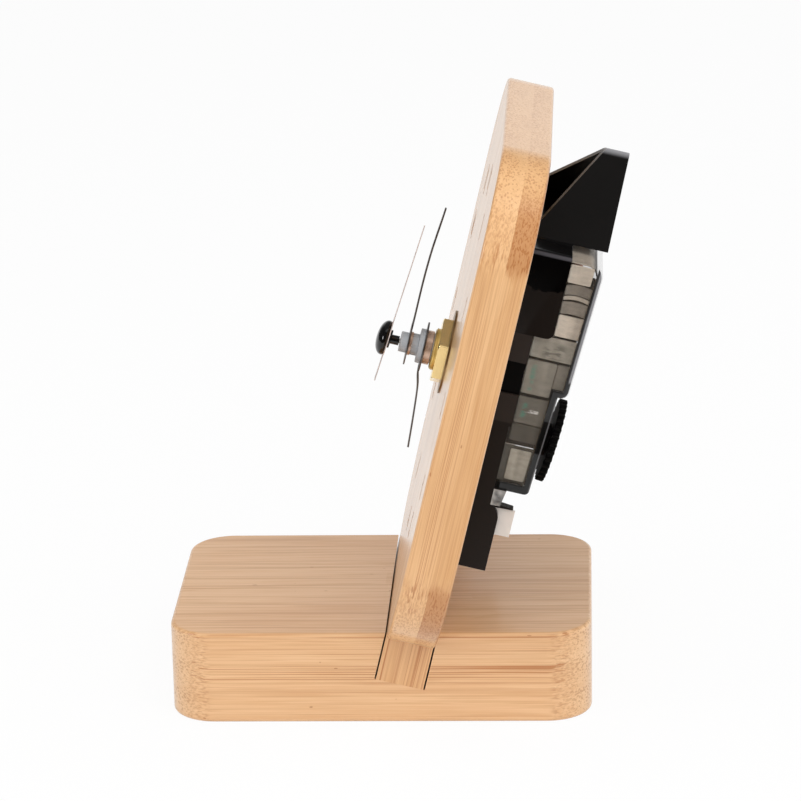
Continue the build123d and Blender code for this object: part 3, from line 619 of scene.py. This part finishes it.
finishes = {
    "base_bamboo": bamboo(
        "base_bamboo", (0, 1, 0), (0, 0, 1), BASE_LAYER, base_places, BASE_TONES,
        streaks=0.5, coat=0.62, hollow=in_slot,
    ),
    "plate_bamboo": bamboo(
        "plate_bamboo", UPWARD, OUTWARD, PLATE_LAYER, plate_places, PLATE_TONES,
        streaks=0.12, coat=PLATE_COAT, back_shade=0.75,
    ),
    "black_plastic": case_black("black_plastic"),
    "clear_plastic": smoked("clear_plastic", srgb(96, 88, 78)),
    "brass": machined("brass", srgb(255, 228, 164), 0.2, tarnish=0.95),
    "steel": machined("steel", srgb(168, 164, 158), 0.34),
    "grey_plastic": moulded("grey_plastic", srgb(188, 191, 195), 0.42),
    "white_plastic": moulded("white_plastic", srgb(226, 222, 212), 0.45),
    "hand_steel": machined("hand_steel", srgb(122, 118, 116), 0.42),
    "second_metal": machined("second_metal", srgb(226, 214, 210), 0.38, metallic=0.2),
    "gloss_black": moulded("gloss_black", srgb(10, 9, 9), 0.12, depth_mm=0.002),
    "magnet": machined("magnet", srgb(70, 68, 66), 0.5),
    "copper": wound("copper", srgb(196, 112, 62)),
    "board_green": etched("board_green", srgb(58, 128, 110), srgb(96, 160, 138)),
    "nickel": machined("nickel", srgb(232, 222, 213), 0.5, metallic=0.2, tarnish=0.94),
}
rose_metal = machined("rose_metal", srgb(232, 204, 186), 0.3, metallic=0.6)
knob_black = moulded("knob_black", srgb(15, 13, 12), 0.6, specular=0.12)
soft_brass = machined("soft_brass", srgb(238, 202, 122), 0.36, metallic=0.5)
dull_brass = machined("dull_brass", srgb(160, 134, 98), 0.4)
engraving = moulded("engraving", srgb(190, 148, 106), 0.45, specular=0.3, coat=PLATE_COAT)
pad_finish = padded_tones("pad_finish")

for node in frame["nodes"].values():
    for holder in node.material_slots:
        holder.material = finishes[holder.material.name.split(".")[0]]
frame["nodes"]["washer"].material_slots[0].material = dull_brass


# Turned pieces

# Nut: radius of its front over half its width across flats, height and slope of its chamfer, and its turn
NUT_FACE = 1.09
NUT_CHAMFER = 0.75
NUT_SLOPE = radians(30)
NUT_TURN = radians(23)
CHAMFER_ROWS = 10

# Bushing and its thread
BUSHING_RADIUS = 4.45
BUSHING_BORE = 3.25
BUSHING_FLANGE_THICK = 0.7
BUSHING_TAPER = 0.3
BUSHING_EDGE = 0.45
THREAD_PITCH = 0.75
THREAD_DEPTH = 0.12
THREAD_ROWS = 240


def turns(count):
    """Angles of so many columns round the axis."""
    return np.arange(count) * TURN / count


def ring(angles, radius, height, place=on_dial):
    """Points round an axis: radius and height are arrays of rows by columns, or columns of rows."""
    radius, height, angles = np.broadcast_arrays(radius, height, angles[None, :])
    return place(radius * np.cos(angles), radius * np.sin(angles), height)


def lathe(profile, place=on_dial):
    """Closed shell of a profile of radius and height carried round an axis."""
    profile = np.array(profile, float)
    return surface(ring(turns(ROUND_COLUMNS), profile[:, :1], profile[:, 1:], place), close_rows=True)


def make_nut():
    """Hexagon nut: at each height the outline is the lesser of the hexagon's radius, flat over cosine, and a
    cone that cuts the corners towards the front."""
    local = dial_points("hex_nut")
    low, high = local[:, 2].min(), local[:, 2].max()
    flat = np.hypot(local[:, 0], local[:, 1]).max() * cos(TURN / 12)
    angles = turns(NUT_COLUMNS)
    hexagon = flat / np.cos(np.mod(angles - NUT_TURN, TURN / 6) - TURN / 12)
    heights = np.concatenate([[low], high - NUT_CHAMFER * np.linspace(1, 0, CHAMFER_ROWS)])
    cone = flat * NUT_FACE + (high - heights[:, None]) / np.tan(NUT_SLOPE)
    outside = np.minimum(hexagon[None, :], cone)
    inside = np.full((2, len(angles)), BUSHING_RADIUS)
    radius = np.concatenate([outside, inside])
    height = np.concatenate([heights, [high, low]])[:, None]
    shell = surface(ring(angles, radius, height), close_rows=True)
    piece("brass_nut", [shell], finishes["brass"], "head", ["hex_nut"], smooth_angle=28)


def make_bushing():
    """Threaded bushing: the outer radius falls by a triangle wave of height over pitch less the turn, a
    helix, and the profile closes through the bore and the flange inside the case."""
    low, high = span("threaded_bushing")
    flange_top = low[2] + BUSHING_FLANGE_THICK
    angles = turns(ROUND_COLUMNS)
    heights = np.linspace(flange_top, high[2] - BUSHING_TAPER, THREAD_ROWS)[:, None]
    phase = np.mod(heights / THREAD_PITCH - angles[None, :] / TURN, 1.0)
    thread = BUSHING_RADIUS - THREAD_DEPTH * (1 - np.abs(2 * phase - 1))
    closing = np.array([
        (BUSHING_RADIUS - BUSHING_EDGE, high[2]),
        (BUSHING_BORE, high[2]),
        (BUSHING_BORE, low[2]),
        (high[0], low[2]),
        (high[0], flange_top),
    ])
    radius = np.concatenate([thread, np.broadcast_to(closing[:, :1], (len(closing), len(angles)))])
    height = np.concatenate([heights, closing[:, 1:]])
    shell = surface(ring(angles, radius, height), close_rows=True)
    piece("brass_bushing", [shell], soft_brass, "head", ["threaded_bushing"], smooth_angle=40)


make_nut()
make_bushing()


# Softened copies of the case, the knob and the small fittings

# Radii of the edges
SHELL_EDGE = 0.3
COVER_EDGE = 0.25
KNOB_EDGE = 0.15
FITTING_EDGE = 0.12


def softened(name, node, radius, body, slot, finish=None):
    """Copy of a CAD node with flat faces joined and sharp edges rounded by a bevel."""
    mesh = bpy.data.meshes.new(name)
    work = bmesh.new()
    work.from_mesh(frame["nodes"][node].data)
    bmesh.ops.remove_doubles(work, verts=work.verts, dist=MERGE * MM)
    bmesh.ops.dissolve_limit(work, angle_limit=radians(FLAT_ANGLE), verts=work.verts, edges=work.edges)
    work.to_mesh(mesh)
    work.free()
    made = settle(name, mesh, finish or finishes[slot], body, [node])
    bevel = made.modifiers.new("rounded_edges", "BEVEL")
    bevel.width = radius * MM
    bevel.segments = 2
    bevel.limit_method = "ANGLE"
    bevel.angle_limit = radians(SHARP_ANGLE)
    bevel.harden_normals = True
    return made


def mark_side_walls(made):
    """Stores on each face whether it looks across the clock, for the finish of the cover."""
    mesh = made.data
    normals = np.empty(3 * len(mesh.polygons), np.float32)
    mesh.polygons.foreach_get("normal", normals)
    side = (np.abs(normals.reshape(-1, 3) @ ACROSS) > 0.7).astype(np.float32)
    mesh.attributes.new("side_wall", "FLOAT", "FACE").data.foreach_set("value", side)


softened("moulded_shell", "front_shell", SHELL_EDGE, "head", "black_plastic")
mark_side_walls(softened("clear_cover", "rear_cover", COVER_EDGE, "head", "clear_plastic"))
softened("knob", "set_knob", KNOB_EDGE, "knob_body", "black_plastic", knob_black)
for node, body, slot, finish in (
    ("hour_collet", "hour_body", "brass", rose_metal),
    ("hour_ring", "hour_body", "grey_plastic", None),
    ("minute_collet", "minute_body", "brass", rose_metal),
    ("minute_nut", "minute_body", "grey_plastic", None),
    ("second_tube", "second_body", "gloss_black", None),
):
    softened("edged_" + node, node, FITTING_EDGE, body, slot, finish)


# Pads inside the clear cover

# Each pad: its foot and top up the plate, its near and far end as shares of the way to the rear wall,
# its tones at those ends, and how far its middle is bowed up
UPPER_PADS = (
    (28.6, 32.4, 0.00, 0.86, 0.86, 0.80, 0.0),
    (25.9, 28.0, 0.00, 1.00, 0.32, 0.28, 0.4),
    (24.8, 25.6, 0.00, 1.00, 0.70, 0.60, 0.5),
    (21.9, 24.5, 0.00, 1.00, 0.36, 0.36, 0.3),
    (17.1, 21.7, 0.00, 1.00, 0.96, 0.70, 0.0),
    (11.9, 16.6, 0.00, 1.00, 0.48, 0.50, 0.0),
    (4.0, 11.3, 0.00, 0.70, 0.40, 0.37, 0.0),
    (6.0, 11.3, 0.71, 1.00, 0.30, 0.26, 0.0),
)
LOWER_PADS = (
    (-2.4, 3.3, 0.00, 1.00, 0.23, 0.20, 0.0),
    (-6.3, -2.6, 0.00, 1.00, 0.12, 0.10, 0.0),
    (-14.7, -8.1, 0.16, 0.92, 0.58, 0.58, 0.0),
)
# A dark sheet of painted shade behind the pads, filling the gaps between them, in the same terms
UPPER_SHADE_SHEETS = ((16.7, 30.5, 0.0, 1.0, 0.02, 0.02, 0.0), (6.0, 16.7, 0.0, 1.0, 0.02, 0.02, 0.0))
LOWER_SHADE_SHEETS = ((-7.3, 6.0, -0.3, 1.0, 0.02, 0.02, 0.0), (-15.5, -7.5, -0.3, 1.0, 0.16, 0.12, 0.0))
PAD_SIDE = (28.40, 28.82)
SHADE_SHEET_SIDE = (28.05, 28.33)
PAD_CORNER = 0.3
PAD_EDGE = 0.08
CORNER_COLUMNS = 24
PAD_COLUMNS = 72
WALL_GAP = 0.1
SHELL_GAP = 0.15

# Roof: height up the plate, radius and turn of its bend, half thickness, width of its thin edges, and steps
ROOF_UP = 32.75
ROOF_BEND = 2.15
ROOF_TURN = radians(80)
ROOF_HALF_THICK = 0.15
ROOF_EDGE = 0.2
FLAT_STEPS = 6
BEND_STEPS = 12


def resampled(outline, count):
    """Closed outline of points with new points at equal steps along it."""
    closed = np.concatenate([outline, outline[:1]])
    way = np.concatenate([[0], np.cumsum(np.hypot(*np.diff(closed, axis=0).T))])
    steps = np.linspace(0, way[-1], count, endpoint=False)
    return np.stack([np.interp(steps, way, closed[:, 0]), np.interp(steps, way, closed[:, 1])], -1)


def inner_wall(wall, up):
    """Depth that pads reach inside a rear wall of the cover."""
    return wall_depth(wall, up) - COVER_WALL - WALL_GAP


def pad(sides, wall, foot, top, start, end, near_tone, far_tone, bow):
    """Slab across the clock and the tones of its points: a rectangle of height and depth with rounded
    corners, carried through its thickness, drawn in a little at both faces and closed on the middle of each.
    Its middle is bowed up as a parabola, and its far end follows the leaning rear wall."""
    middle, half_up = (foot + top) / 2, (top - foot) / 2
    shell_rear = (UPPER_BLOCK_DEPTH if foot > UPPER_BLOCK_FOOT else MID_DEPTH) + SHELL_GAP
    half_deep = (end - start) * (inner_wall(wall, middle) - shell_rear) / 2
    angle = (np.arange(CORNER_COLUMNS) + 0.5) * TURN / CORNER_COLUMNS
    sides_up = np.sign(np.cos(angle)) * (half_up - PAD_CORNER) + PAD_CORNER * np.cos(angle)
    sides_deep = np.sign(np.sin(angle)) * (half_deep - PAD_CORNER) + PAD_CORNER * np.sin(angle)
    outline = resampled(np.stack([sides_up, sides_deep], -1), PAD_COLUMNS)
    keep = np.array([0, 1, 1, 1, 1, 0])[:, None]
    inset = PAD_EDGE * np.array([0, 1, 0, 0, 1, 0])[:, None]
    along = keep * outline[:, 1] / half_deep * (1 - inset / half_deep)
    up = middle + keep * outline[:, 0] * (1 - inset / half_up) + bow * (1 - along ** 2)
    share = (1 + along) / 2
    depth = shell_rear + (start + share * (end - start)) * (inner_wall(wall, up) - shell_rear)
    first, last = np.sort(sides)
    across = np.array([first, first, first + PAD_EDGE, last - PAD_EDGE, last, last])[:, None]
    tone = near_tone + share * (far_tone - near_tone)
    return surface(on_dial(across, up, -PLATE_THICK - depth)), tone.ravel()


def roof():
    """Sheet under the cover's top and the tones of its points: a line of depth that turns down in a part of a
    circle before the rear wall, given a thickness, and carried across the clock to edges of no thickness."""
    bend_start = inner_wall(UPPER_WALL, ROOF_UP) - ROOF_BEND - ROOF_HALF_THICK
    turn = np.concatenate([np.zeros(FLAT_STEPS), np.linspace(0, ROOF_TURN, BEND_STEPS)])
    depth = np.linspace(UPPER_BLOCK_DEPTH + ROOF_EDGE, bend_start, FLAT_STEPS, endpoint=False)
    depth = np.concatenate([depth, np.full(BEND_STEPS, bend_start)])
    sign = np.repeat([1, -1], len(turn))
    turn = np.concatenate([turn, turn[::-1]])
    depth = np.concatenate([depth, depth[::-1]])
    radius = ROOF_BEND + ROOF_HALF_THICK * sign * np.array([0, 1, 1, 0])[:, None]
    side = PAD_SIDE[0]
    across = np.array([-side, ROOF_EDGE - side, side - ROOF_EDGE, side])[:, None]
    up = ROOF_UP - ROOF_BEND + radius * np.cos(turn)
    # Painted shade: the sheet darkens as it turns down towards the rear wall
    tone = np.interp(turn, np.radians([0, 25, 45]), [0.55, 0.45, 0.02]) + 0 * radius
    return surface(on_dial(across, up, -PLATE_THICK - depth - radius * np.sin(turn))), tone.ravel()


def make_cover_pads():
    """Flat pads and, behind them, a dark sheet of painted shade inside both side walls of the cover, and a
    roof under its top, from the shell to the rear wall."""
    rows = (UPPER_WALL, UPPER_PADS, UPPER_SHADE_SHEETS), (LOWER_WALL, LOWER_PADS, LOWER_SHADE_SHEETS)
    parts = [roof()]
    for flip in (-1, 1):
        for wall, pads, shade_sheets in rows:
            parts += [pad(np.multiply(flip, PAD_SIDE), wall, *row) for row in pads]
            parts += [pad(np.multiply(flip, SHADE_SHEET_SIDE), wall, *row) for row in shade_sheets]
    shells, tones = zip(*parts)
    piece("cover_pads", shells, pad_finish, "head", tones=tones)


make_cover_pads()


# Hands

# How far from the axis the points of a hand belong to its hub
HUB_REACH = 4.0

# Shares of the way from a hand's root to its tip, and the half widths there
HOUR_SHAPE = [0, 0.2, 0.85, 1], [1.3, 1.55, 1.0, 0.55]
MINUTE_SHAPE = [0, 0.12, 0.9, 1], [1.1, 1.4, 0.75, 0.45]
SECOND_SHAPE = [0, 0.25, 0.35, 1], [0.9, 0.75, 0.4, 0.22]

# Eight-sided section of a blade, in half widths and half thicknesses
SECTION_SIDE = np.array([1, 0.9, -0.9, -1, -1, -0.9, 0.9, 1])
SECTION_LIFT = np.array([0.55, 1, 1, 0.55, -0.55, -1, -1, -0.55])
BLADE_ROWS = 60

# Where a blade starts, up the plate from the axis, and its half thickness
HOUR_ROOT = -2.2
MINUTE_ROOT = 1.6
HOUR_HALF_THICK = 0.19
MINUTE_HALF_THICK = 0.18
SECOND_HALF_THICK = 0.11

# Bore, radius and half thickness of a hand's washer or disc
HOUR_WASHER = (2.8, 5.2, 0.15)
MINUTE_WASHER = (1.6, 4.6, 0.13)
SECOND_DISC = (0.6, 3.75, 0.1)


def blade(root, tip, half_widths, half_thick, bend):
    """Closed strip from root to tip: at each step along the straight line between them, lifted by the bend,
    a flat eight-sided section of the width there; the two ends close on the line."""
    t = np.linspace(0, 1, BLADE_ROWS)
    t = np.concatenate([[0], t, [1]])[:, None]
    root, tip = np.array(root, float), np.array(tip, float)
    width = np.interp(t, *half_widths)
    closing = np.ones_like(t)
    closing[[0, -1]] = 0.0
    side = SECTION_SIDE[None, :] * width * closing
    lift = SECTION_LIFT[None, :] * half_thick * closing
    line = root + t * (tip - root)
    return surface(on_dial(line[:, :1] + side, line[:, 1:2] + 0 * side, line[:, 2:] + bend(t) + lift))


def flat_ring(inner, outer, half_thick, height, place=on_dial):
    """Washer about an axis at a height."""
    corners = [(inner, -half_thick), (outer, -half_thick), (outer, half_thick), (inner, half_thick)]
    return lathe([(radius, height + lift) for radius, lift in corners], place)


def hand_ends(node, direction):
    """Height of a CAD hand at its hub, and the middle of its far end along up (1) or down (-1)."""
    local = dial_points(node)
    reach = direction * local[:, 1]
    far = local[reach > reach.max() - 0.3]
    near = local[np.hypot(local[:, 0], local[:, 1]) < HUB_REACH]
    return near[:, 2].mean(), (0.0, direction * reach.max(), far[:, 2].mean())


def hour_bend(t):
    """Lift of the hour hand at a share of the way along it: a kink near its root, less a slight sag."""
    return 0.38 * np.exp(-(((t - 0.16) / 0.11) ** 2)) - 0.12 * np.sin(np.pi * t)


def minute_bend(t):
    """Lift of the minute hand at a share of the way along it: a slight bow, less a droop towards its end."""
    return 0.28 * np.sin(np.pi * t) ** 2 - 0.35 * np.clip((t - 0.65) / 0.35, 0, 1) ** 1.5


def no_bend(t):
    """No lift anywhere along a straight hand."""
    return 0 * t


def make_hour_hand():
    """Hour hand: a washer round the arbor and a tapering blade with the small bends of thin stamped metal."""
    hub, tip = hand_ends("hour_hand", -1)
    strip = blade((0, HOUR_ROOT, hub), tip, HOUR_SHAPE, HOUR_HALF_THICK, hour_bend)
    shells = [strip, flat_ring(*HOUR_WASHER, hub)]
    piece("hour_hand_blade", shells, finishes["hand_steel"], "hour_body", ["hour_hand"])


def make_minute_hand():
    """Minute hand: a washer and a blade that bows a little and droops towards its end."""
    hub, tip = hand_ends("minute_hand", 1)
    strip = blade((0, MINUTE_ROOT, hub), tip, MINUTE_SHAPE, MINUTE_HALF_THICK, minute_bend)
    shells = [strip, flat_ring(*MINUTE_WASHER, hub)]
    piece("minute_hand_blade", shells, finishes["hand_steel"], "minute_body", ["minute_hand"])


def on_second_plane(x, up, height):
    """Points measured from the leaning plane of the second hand, straight from its tail to its tip."""
    _, tip = hand_ends("second_hand", 1)
    _, tail = hand_ends("second_hand", -1)
    slope = np.arctan2(tip[2] - tail[2], tip[1] - tail[1])
    start = tip[2] - tip[1] * np.tan(slope)
    out = start + up * np.sin(slope) + height * np.cos(slope)
    return on_dial(x, up * np.cos(slope) - height * np.sin(slope), out)


def make_second_hand():
    """Second hand, pressed on a little askew: a straight blade and a disc on the same leaning plane."""
    _, tip = hand_ends("second_hand", 1)
    _, tail = hand_ends("second_hand", -1)
    strip = blade(tail, tip, SECOND_SHAPE, SECOND_HALF_THICK, no_bend)
    shells = [strip, flat_ring(*SECOND_DISC, 0.0, on_second_plane)]
    metal = finishes["second_metal"]
    piece("second_hand_blade", shells, metal, "second_body", ["second_hand"])


# Domed cap, measured from the second hand's leaning plane, with the share of its rise that is the rim's and
# the power that squashes its dome
CAP_RADIUS = 3.7
CAP_FOOT = 0.1
CAP_RISE = 2.3
CAP_RIM = 0.22
CAP_SQUASH = 0.9


def make_cap():
    """Domed cap on the second hand: a profile that runs from the rim over a squashed quarter circle to the
    middle, turned round the axis of the leaning plane, with a rolled rim and a flat back."""
    angle = np.linspace(0, np.pi / 2, 24)
    radius = CAP_RADIUS * np.cos(angle) ** CAP_SQUASH
    height = CAP_FOOT + CAP_RISE * (CAP_RIM + (1 - CAP_RIM) * np.sin(angle))
    dome = np.stack([radius, height], -1)
    rim = [[0.0, CAP_FOOT], [0.9 * CAP_RADIUS, CAP_FOOT], [0.985 * CAP_RADIUS, CAP_FOOT + 0.08 * CAP_RISE]]
    profile = np.concatenate([rim, dome])
    shell = surface(ring(turns(ROUND_COLUMNS), profile[:, :1], profile[:, 1:], on_second_plane))
    gloss = finishes["gloss_black"]
    piece("domed_cap", [shell], gloss, "second_body", ["second_cap"], smooth_angle=50)


make_hour_hand()
make_minute_hand()
make_second_hand()
make_cap()


# Dial numerals

NUMERAL_RADIUS = 38.0
NUMERAL_SIZE = 8.0
NUMERAL_DEPTH = 0.04


def make_numerals():
    """Hour numerals on the face, each a flat text made a mesh and set upright on a circle about the axis."""
    points, faces, start = [], [], 0
    for hour in range(1, 13):
        text = bpy.data.curves.new("numeral", "FONT")
        text.body = str(hour)
        text.size = NUMERAL_SIZE
        text.extrude = NUMERAL_DEPTH
        text.align_x = "CENTER"
        text.align_y = "CENTER"
        holder = bpy.data.objects.new("numeral", text)
        bpy.context.scene.collection.objects.link(holder)
        bpy.context.view_layer.update()
        shape = bpy.data.meshes.new_from_object(holder)
        flat = np.empty(3 * len(shape.vertices), np.float32)
        shape.vertices.foreach_get("co", flat)
        flat = flat.reshape(-1, 3)
        angle = TURN * hour / 12
        across = flat[:, 0] + NUMERAL_RADIUS * np.sin(angle)
        up = flat[:, 1] + NUMERAL_RADIUS * np.cos(angle)
        points.append(on_dial(across, up, flat[:, 2]))
        faces += [[start + corner for corner in face.vertices] for face in shape.polygons]
        start += len(flat)
        bpy.data.objects.remove(holder)
    mesh = bpy.data.meshes.new("dial_numerals")
    mesh.from_pydata(np.concatenate(points), [], faces)
    settle("dial_numerals", mesh, engraving, "head")


make_numerals()


# Stage, lamps and camera

# Half width of the floor in metres, its tone, its tone in reflections on the camera's side, and the shares
# of white that the eye and reflections see
FLOOR_HALF = 4.0
FLOOR_TONE = (0.9, 0.9, 0.9, 1.0)
FLOOR_DIM = (0.04, 0.04, 0.04, 1.0)
FLOOR_GLOW = 0.93
WORLD_LIGHT = 0.35
CEILING_LIGHT = 0.22
ROOM_LIGHT = 0.08


def ray_kinds(tree):
    """Light path outputs of a tree: seen straight or through something, and seen in a reflection."""
    path = tree.nodes.new("ShaderNodeLightPath")
    seen = Wire(path.outputs["Is Camera Ray"]) | Wire(path.outputs["Is Transmission Ray"])
    return seen, Wire(path.outputs["Is Glossy Ray"])


def make_floor():
    """Wide pale floor that keeps the shadow: to the eye most of its light is a white glow, and in reflections
    it is white behind the clock and dim on the side of the camera."""
    mesh = bpy.data.meshes.new("floor")
    corners = [(-1, -1), (1, -1), (1, 1), (-1, 1)]
    mesh.from_pydata([(FLOOR_HALF * x, FLOOR_HALF * y, 0) for x, y in corners], [], [(0, 1, 2, 3)])
    floor = bpy.data.objects.new("floor", mesh)
    bpy.context.scene.collection.objects.link(floor)
    material, shader, place, _ = new_finish("floor_white")
    tree = material.node_tree
    seen, mirror = ray_kinds(tree)
    across, along, _ = place.parts()
    sweep = across.fall(0.08, 0.16) | across.fall(0.22, 0.32) * along.fall(-0.01, 0.02)
    shade = (mirror * (1 - sweep)).mix(FLOOR_TONE, FLOOR_DIM)
    feed(shader, Base_Color=shade, Roughness=0.9, Specular_IOR_Level=0.0)
    glow = place.node("Emission", None, {"Color": (1, 1, 1, 1), "Strength": 1.0})
    share = (seen + mirror * sweep) * FLOOR_GLOW
    mixed = place.node("MixShader", None, {0: share, 1: Wire(shader.outputs[0]), 2: glow})
    tree.links.new(mixed.socket, tree.nodes["Material Output"].inputs["Surface"])
    mesh.materials.append(material)


def make_world():
    """World that is white to the eye and soft as light; in reflections the front, the camera's side and the
    ceiling are dim, but for a lamp overhead."""
    world = bpy.data.worlds.new("studio")
    bpy.context.scene.world = world
    world.use_nodes = True
    tree = world.node_tree
    seen, mirror = ray_kinds(tree)
    toward_x, toward_y, toward_z = seen.node("TexCoord", None, None, "Generated").parts()
    ceiling = toward_z.rise(0.25, 0.55) * (1 - CEILING_LIGHT)
    room = (toward_x.rise(-0.1, 0.4) | toward_y.fall(-0.7, -0.3)) * (1 - ROOM_LIGHT)
    dim = (ceiling | room) * (1 - toward_z.rise(0.80, 0.90) * toward_x.rise(0.10, 0.30))
    strength = WORLD_LIGHT + seen * (1 - WORLD_LIGHT) + mirror * (1 - WORLD_LIGHT - dim)
    background = tree.nodes["Background"]
    background.inputs["Color"].default_value = (1, 1, 1, 1)
    tree.links.new(strength.socket, background.inputs["Strength"])


def lamp(name, place, aim, size, power):
    """Square softbox at a place, turned to a point, with its power in watts."""
    light = bpy.data.lights.new(name, "AREA")
    light.size = size
    light.energy = power
    holder = bpy.data.objects.new(name, light)
    bpy.context.scene.collection.objects.link(holder)
    holder.location = place
    holder.rotation_euler = (Vector(aim) - Vector(place)).to_track_quat("-Z", "Y").to_euler()
    return holder


# Line of sight, in metres, with the lens and the sensor in millimetres
VIEW_AZIMUTH = radians(93.025)
VIEW_ELEVATION = radians(17.75)
VIEW_ROLL = radians(-1.283)
VIEW_DISTANCE = 0.8318
VIEW_TARGET = Vector((0, 0.004013, 0.060215))
VIEW_LENS = 178.17
VIEW_SENSOR = 36.0


def make_camera():
    """Camera on the fitted line of sight, rolled a little."""
    a, e = VIEW_AZIMUTH, VIEW_ELEVATION
    back = Vector((sin(a) * cos(e), -cos(a) * cos(e), sin(e)))
    right = Vector((cos(a), sin(a), 0))
    up = back.cross(right)
    rolled_right = cos(VIEW_ROLL) * right + sin(VIEW_ROLL) * up
    rolled_up = cos(VIEW_ROLL) * up - sin(VIEW_ROLL) * right
    data = bpy.data.cameras.new("camera")
    data.sensor_width = VIEW_SENSOR
    data.lens = VIEW_LENS
    camera = bpy.data.objects.new("camera", data)
    bpy.context.scene.collection.objects.link(camera)
    turn = Matrix((rolled_right, rolled_up, back)).transposed()
    camera.matrix_world = Matrix.Translation(VIEW_TARGET + VIEW_DISTANCE * back) @ turn.to_4x4()
    bpy.context.scene.camera = camera


make_floor()
make_world()
middle = (cad_low + cad_high) / 2
for name, place, size, power in (
    ("near_softbox", (1.0, 0.15, 0.70), 1.1, 7.3),
    ("rear_softbox", (0.25, 0.75, 0.85), 0.9, 4.6),
    ("top_softbox", (0.10, -0.15, 1.15), 0.8, 2.9),
):
    lamp(name, place, middle, size, power).visible_glossy = False
lamp("front_softbox", (0.46, -0.9, 0.42), middle, 0.25, 2.3)
make_camera()
bpy.context.scene.view_settings.view_transform = "Standard"
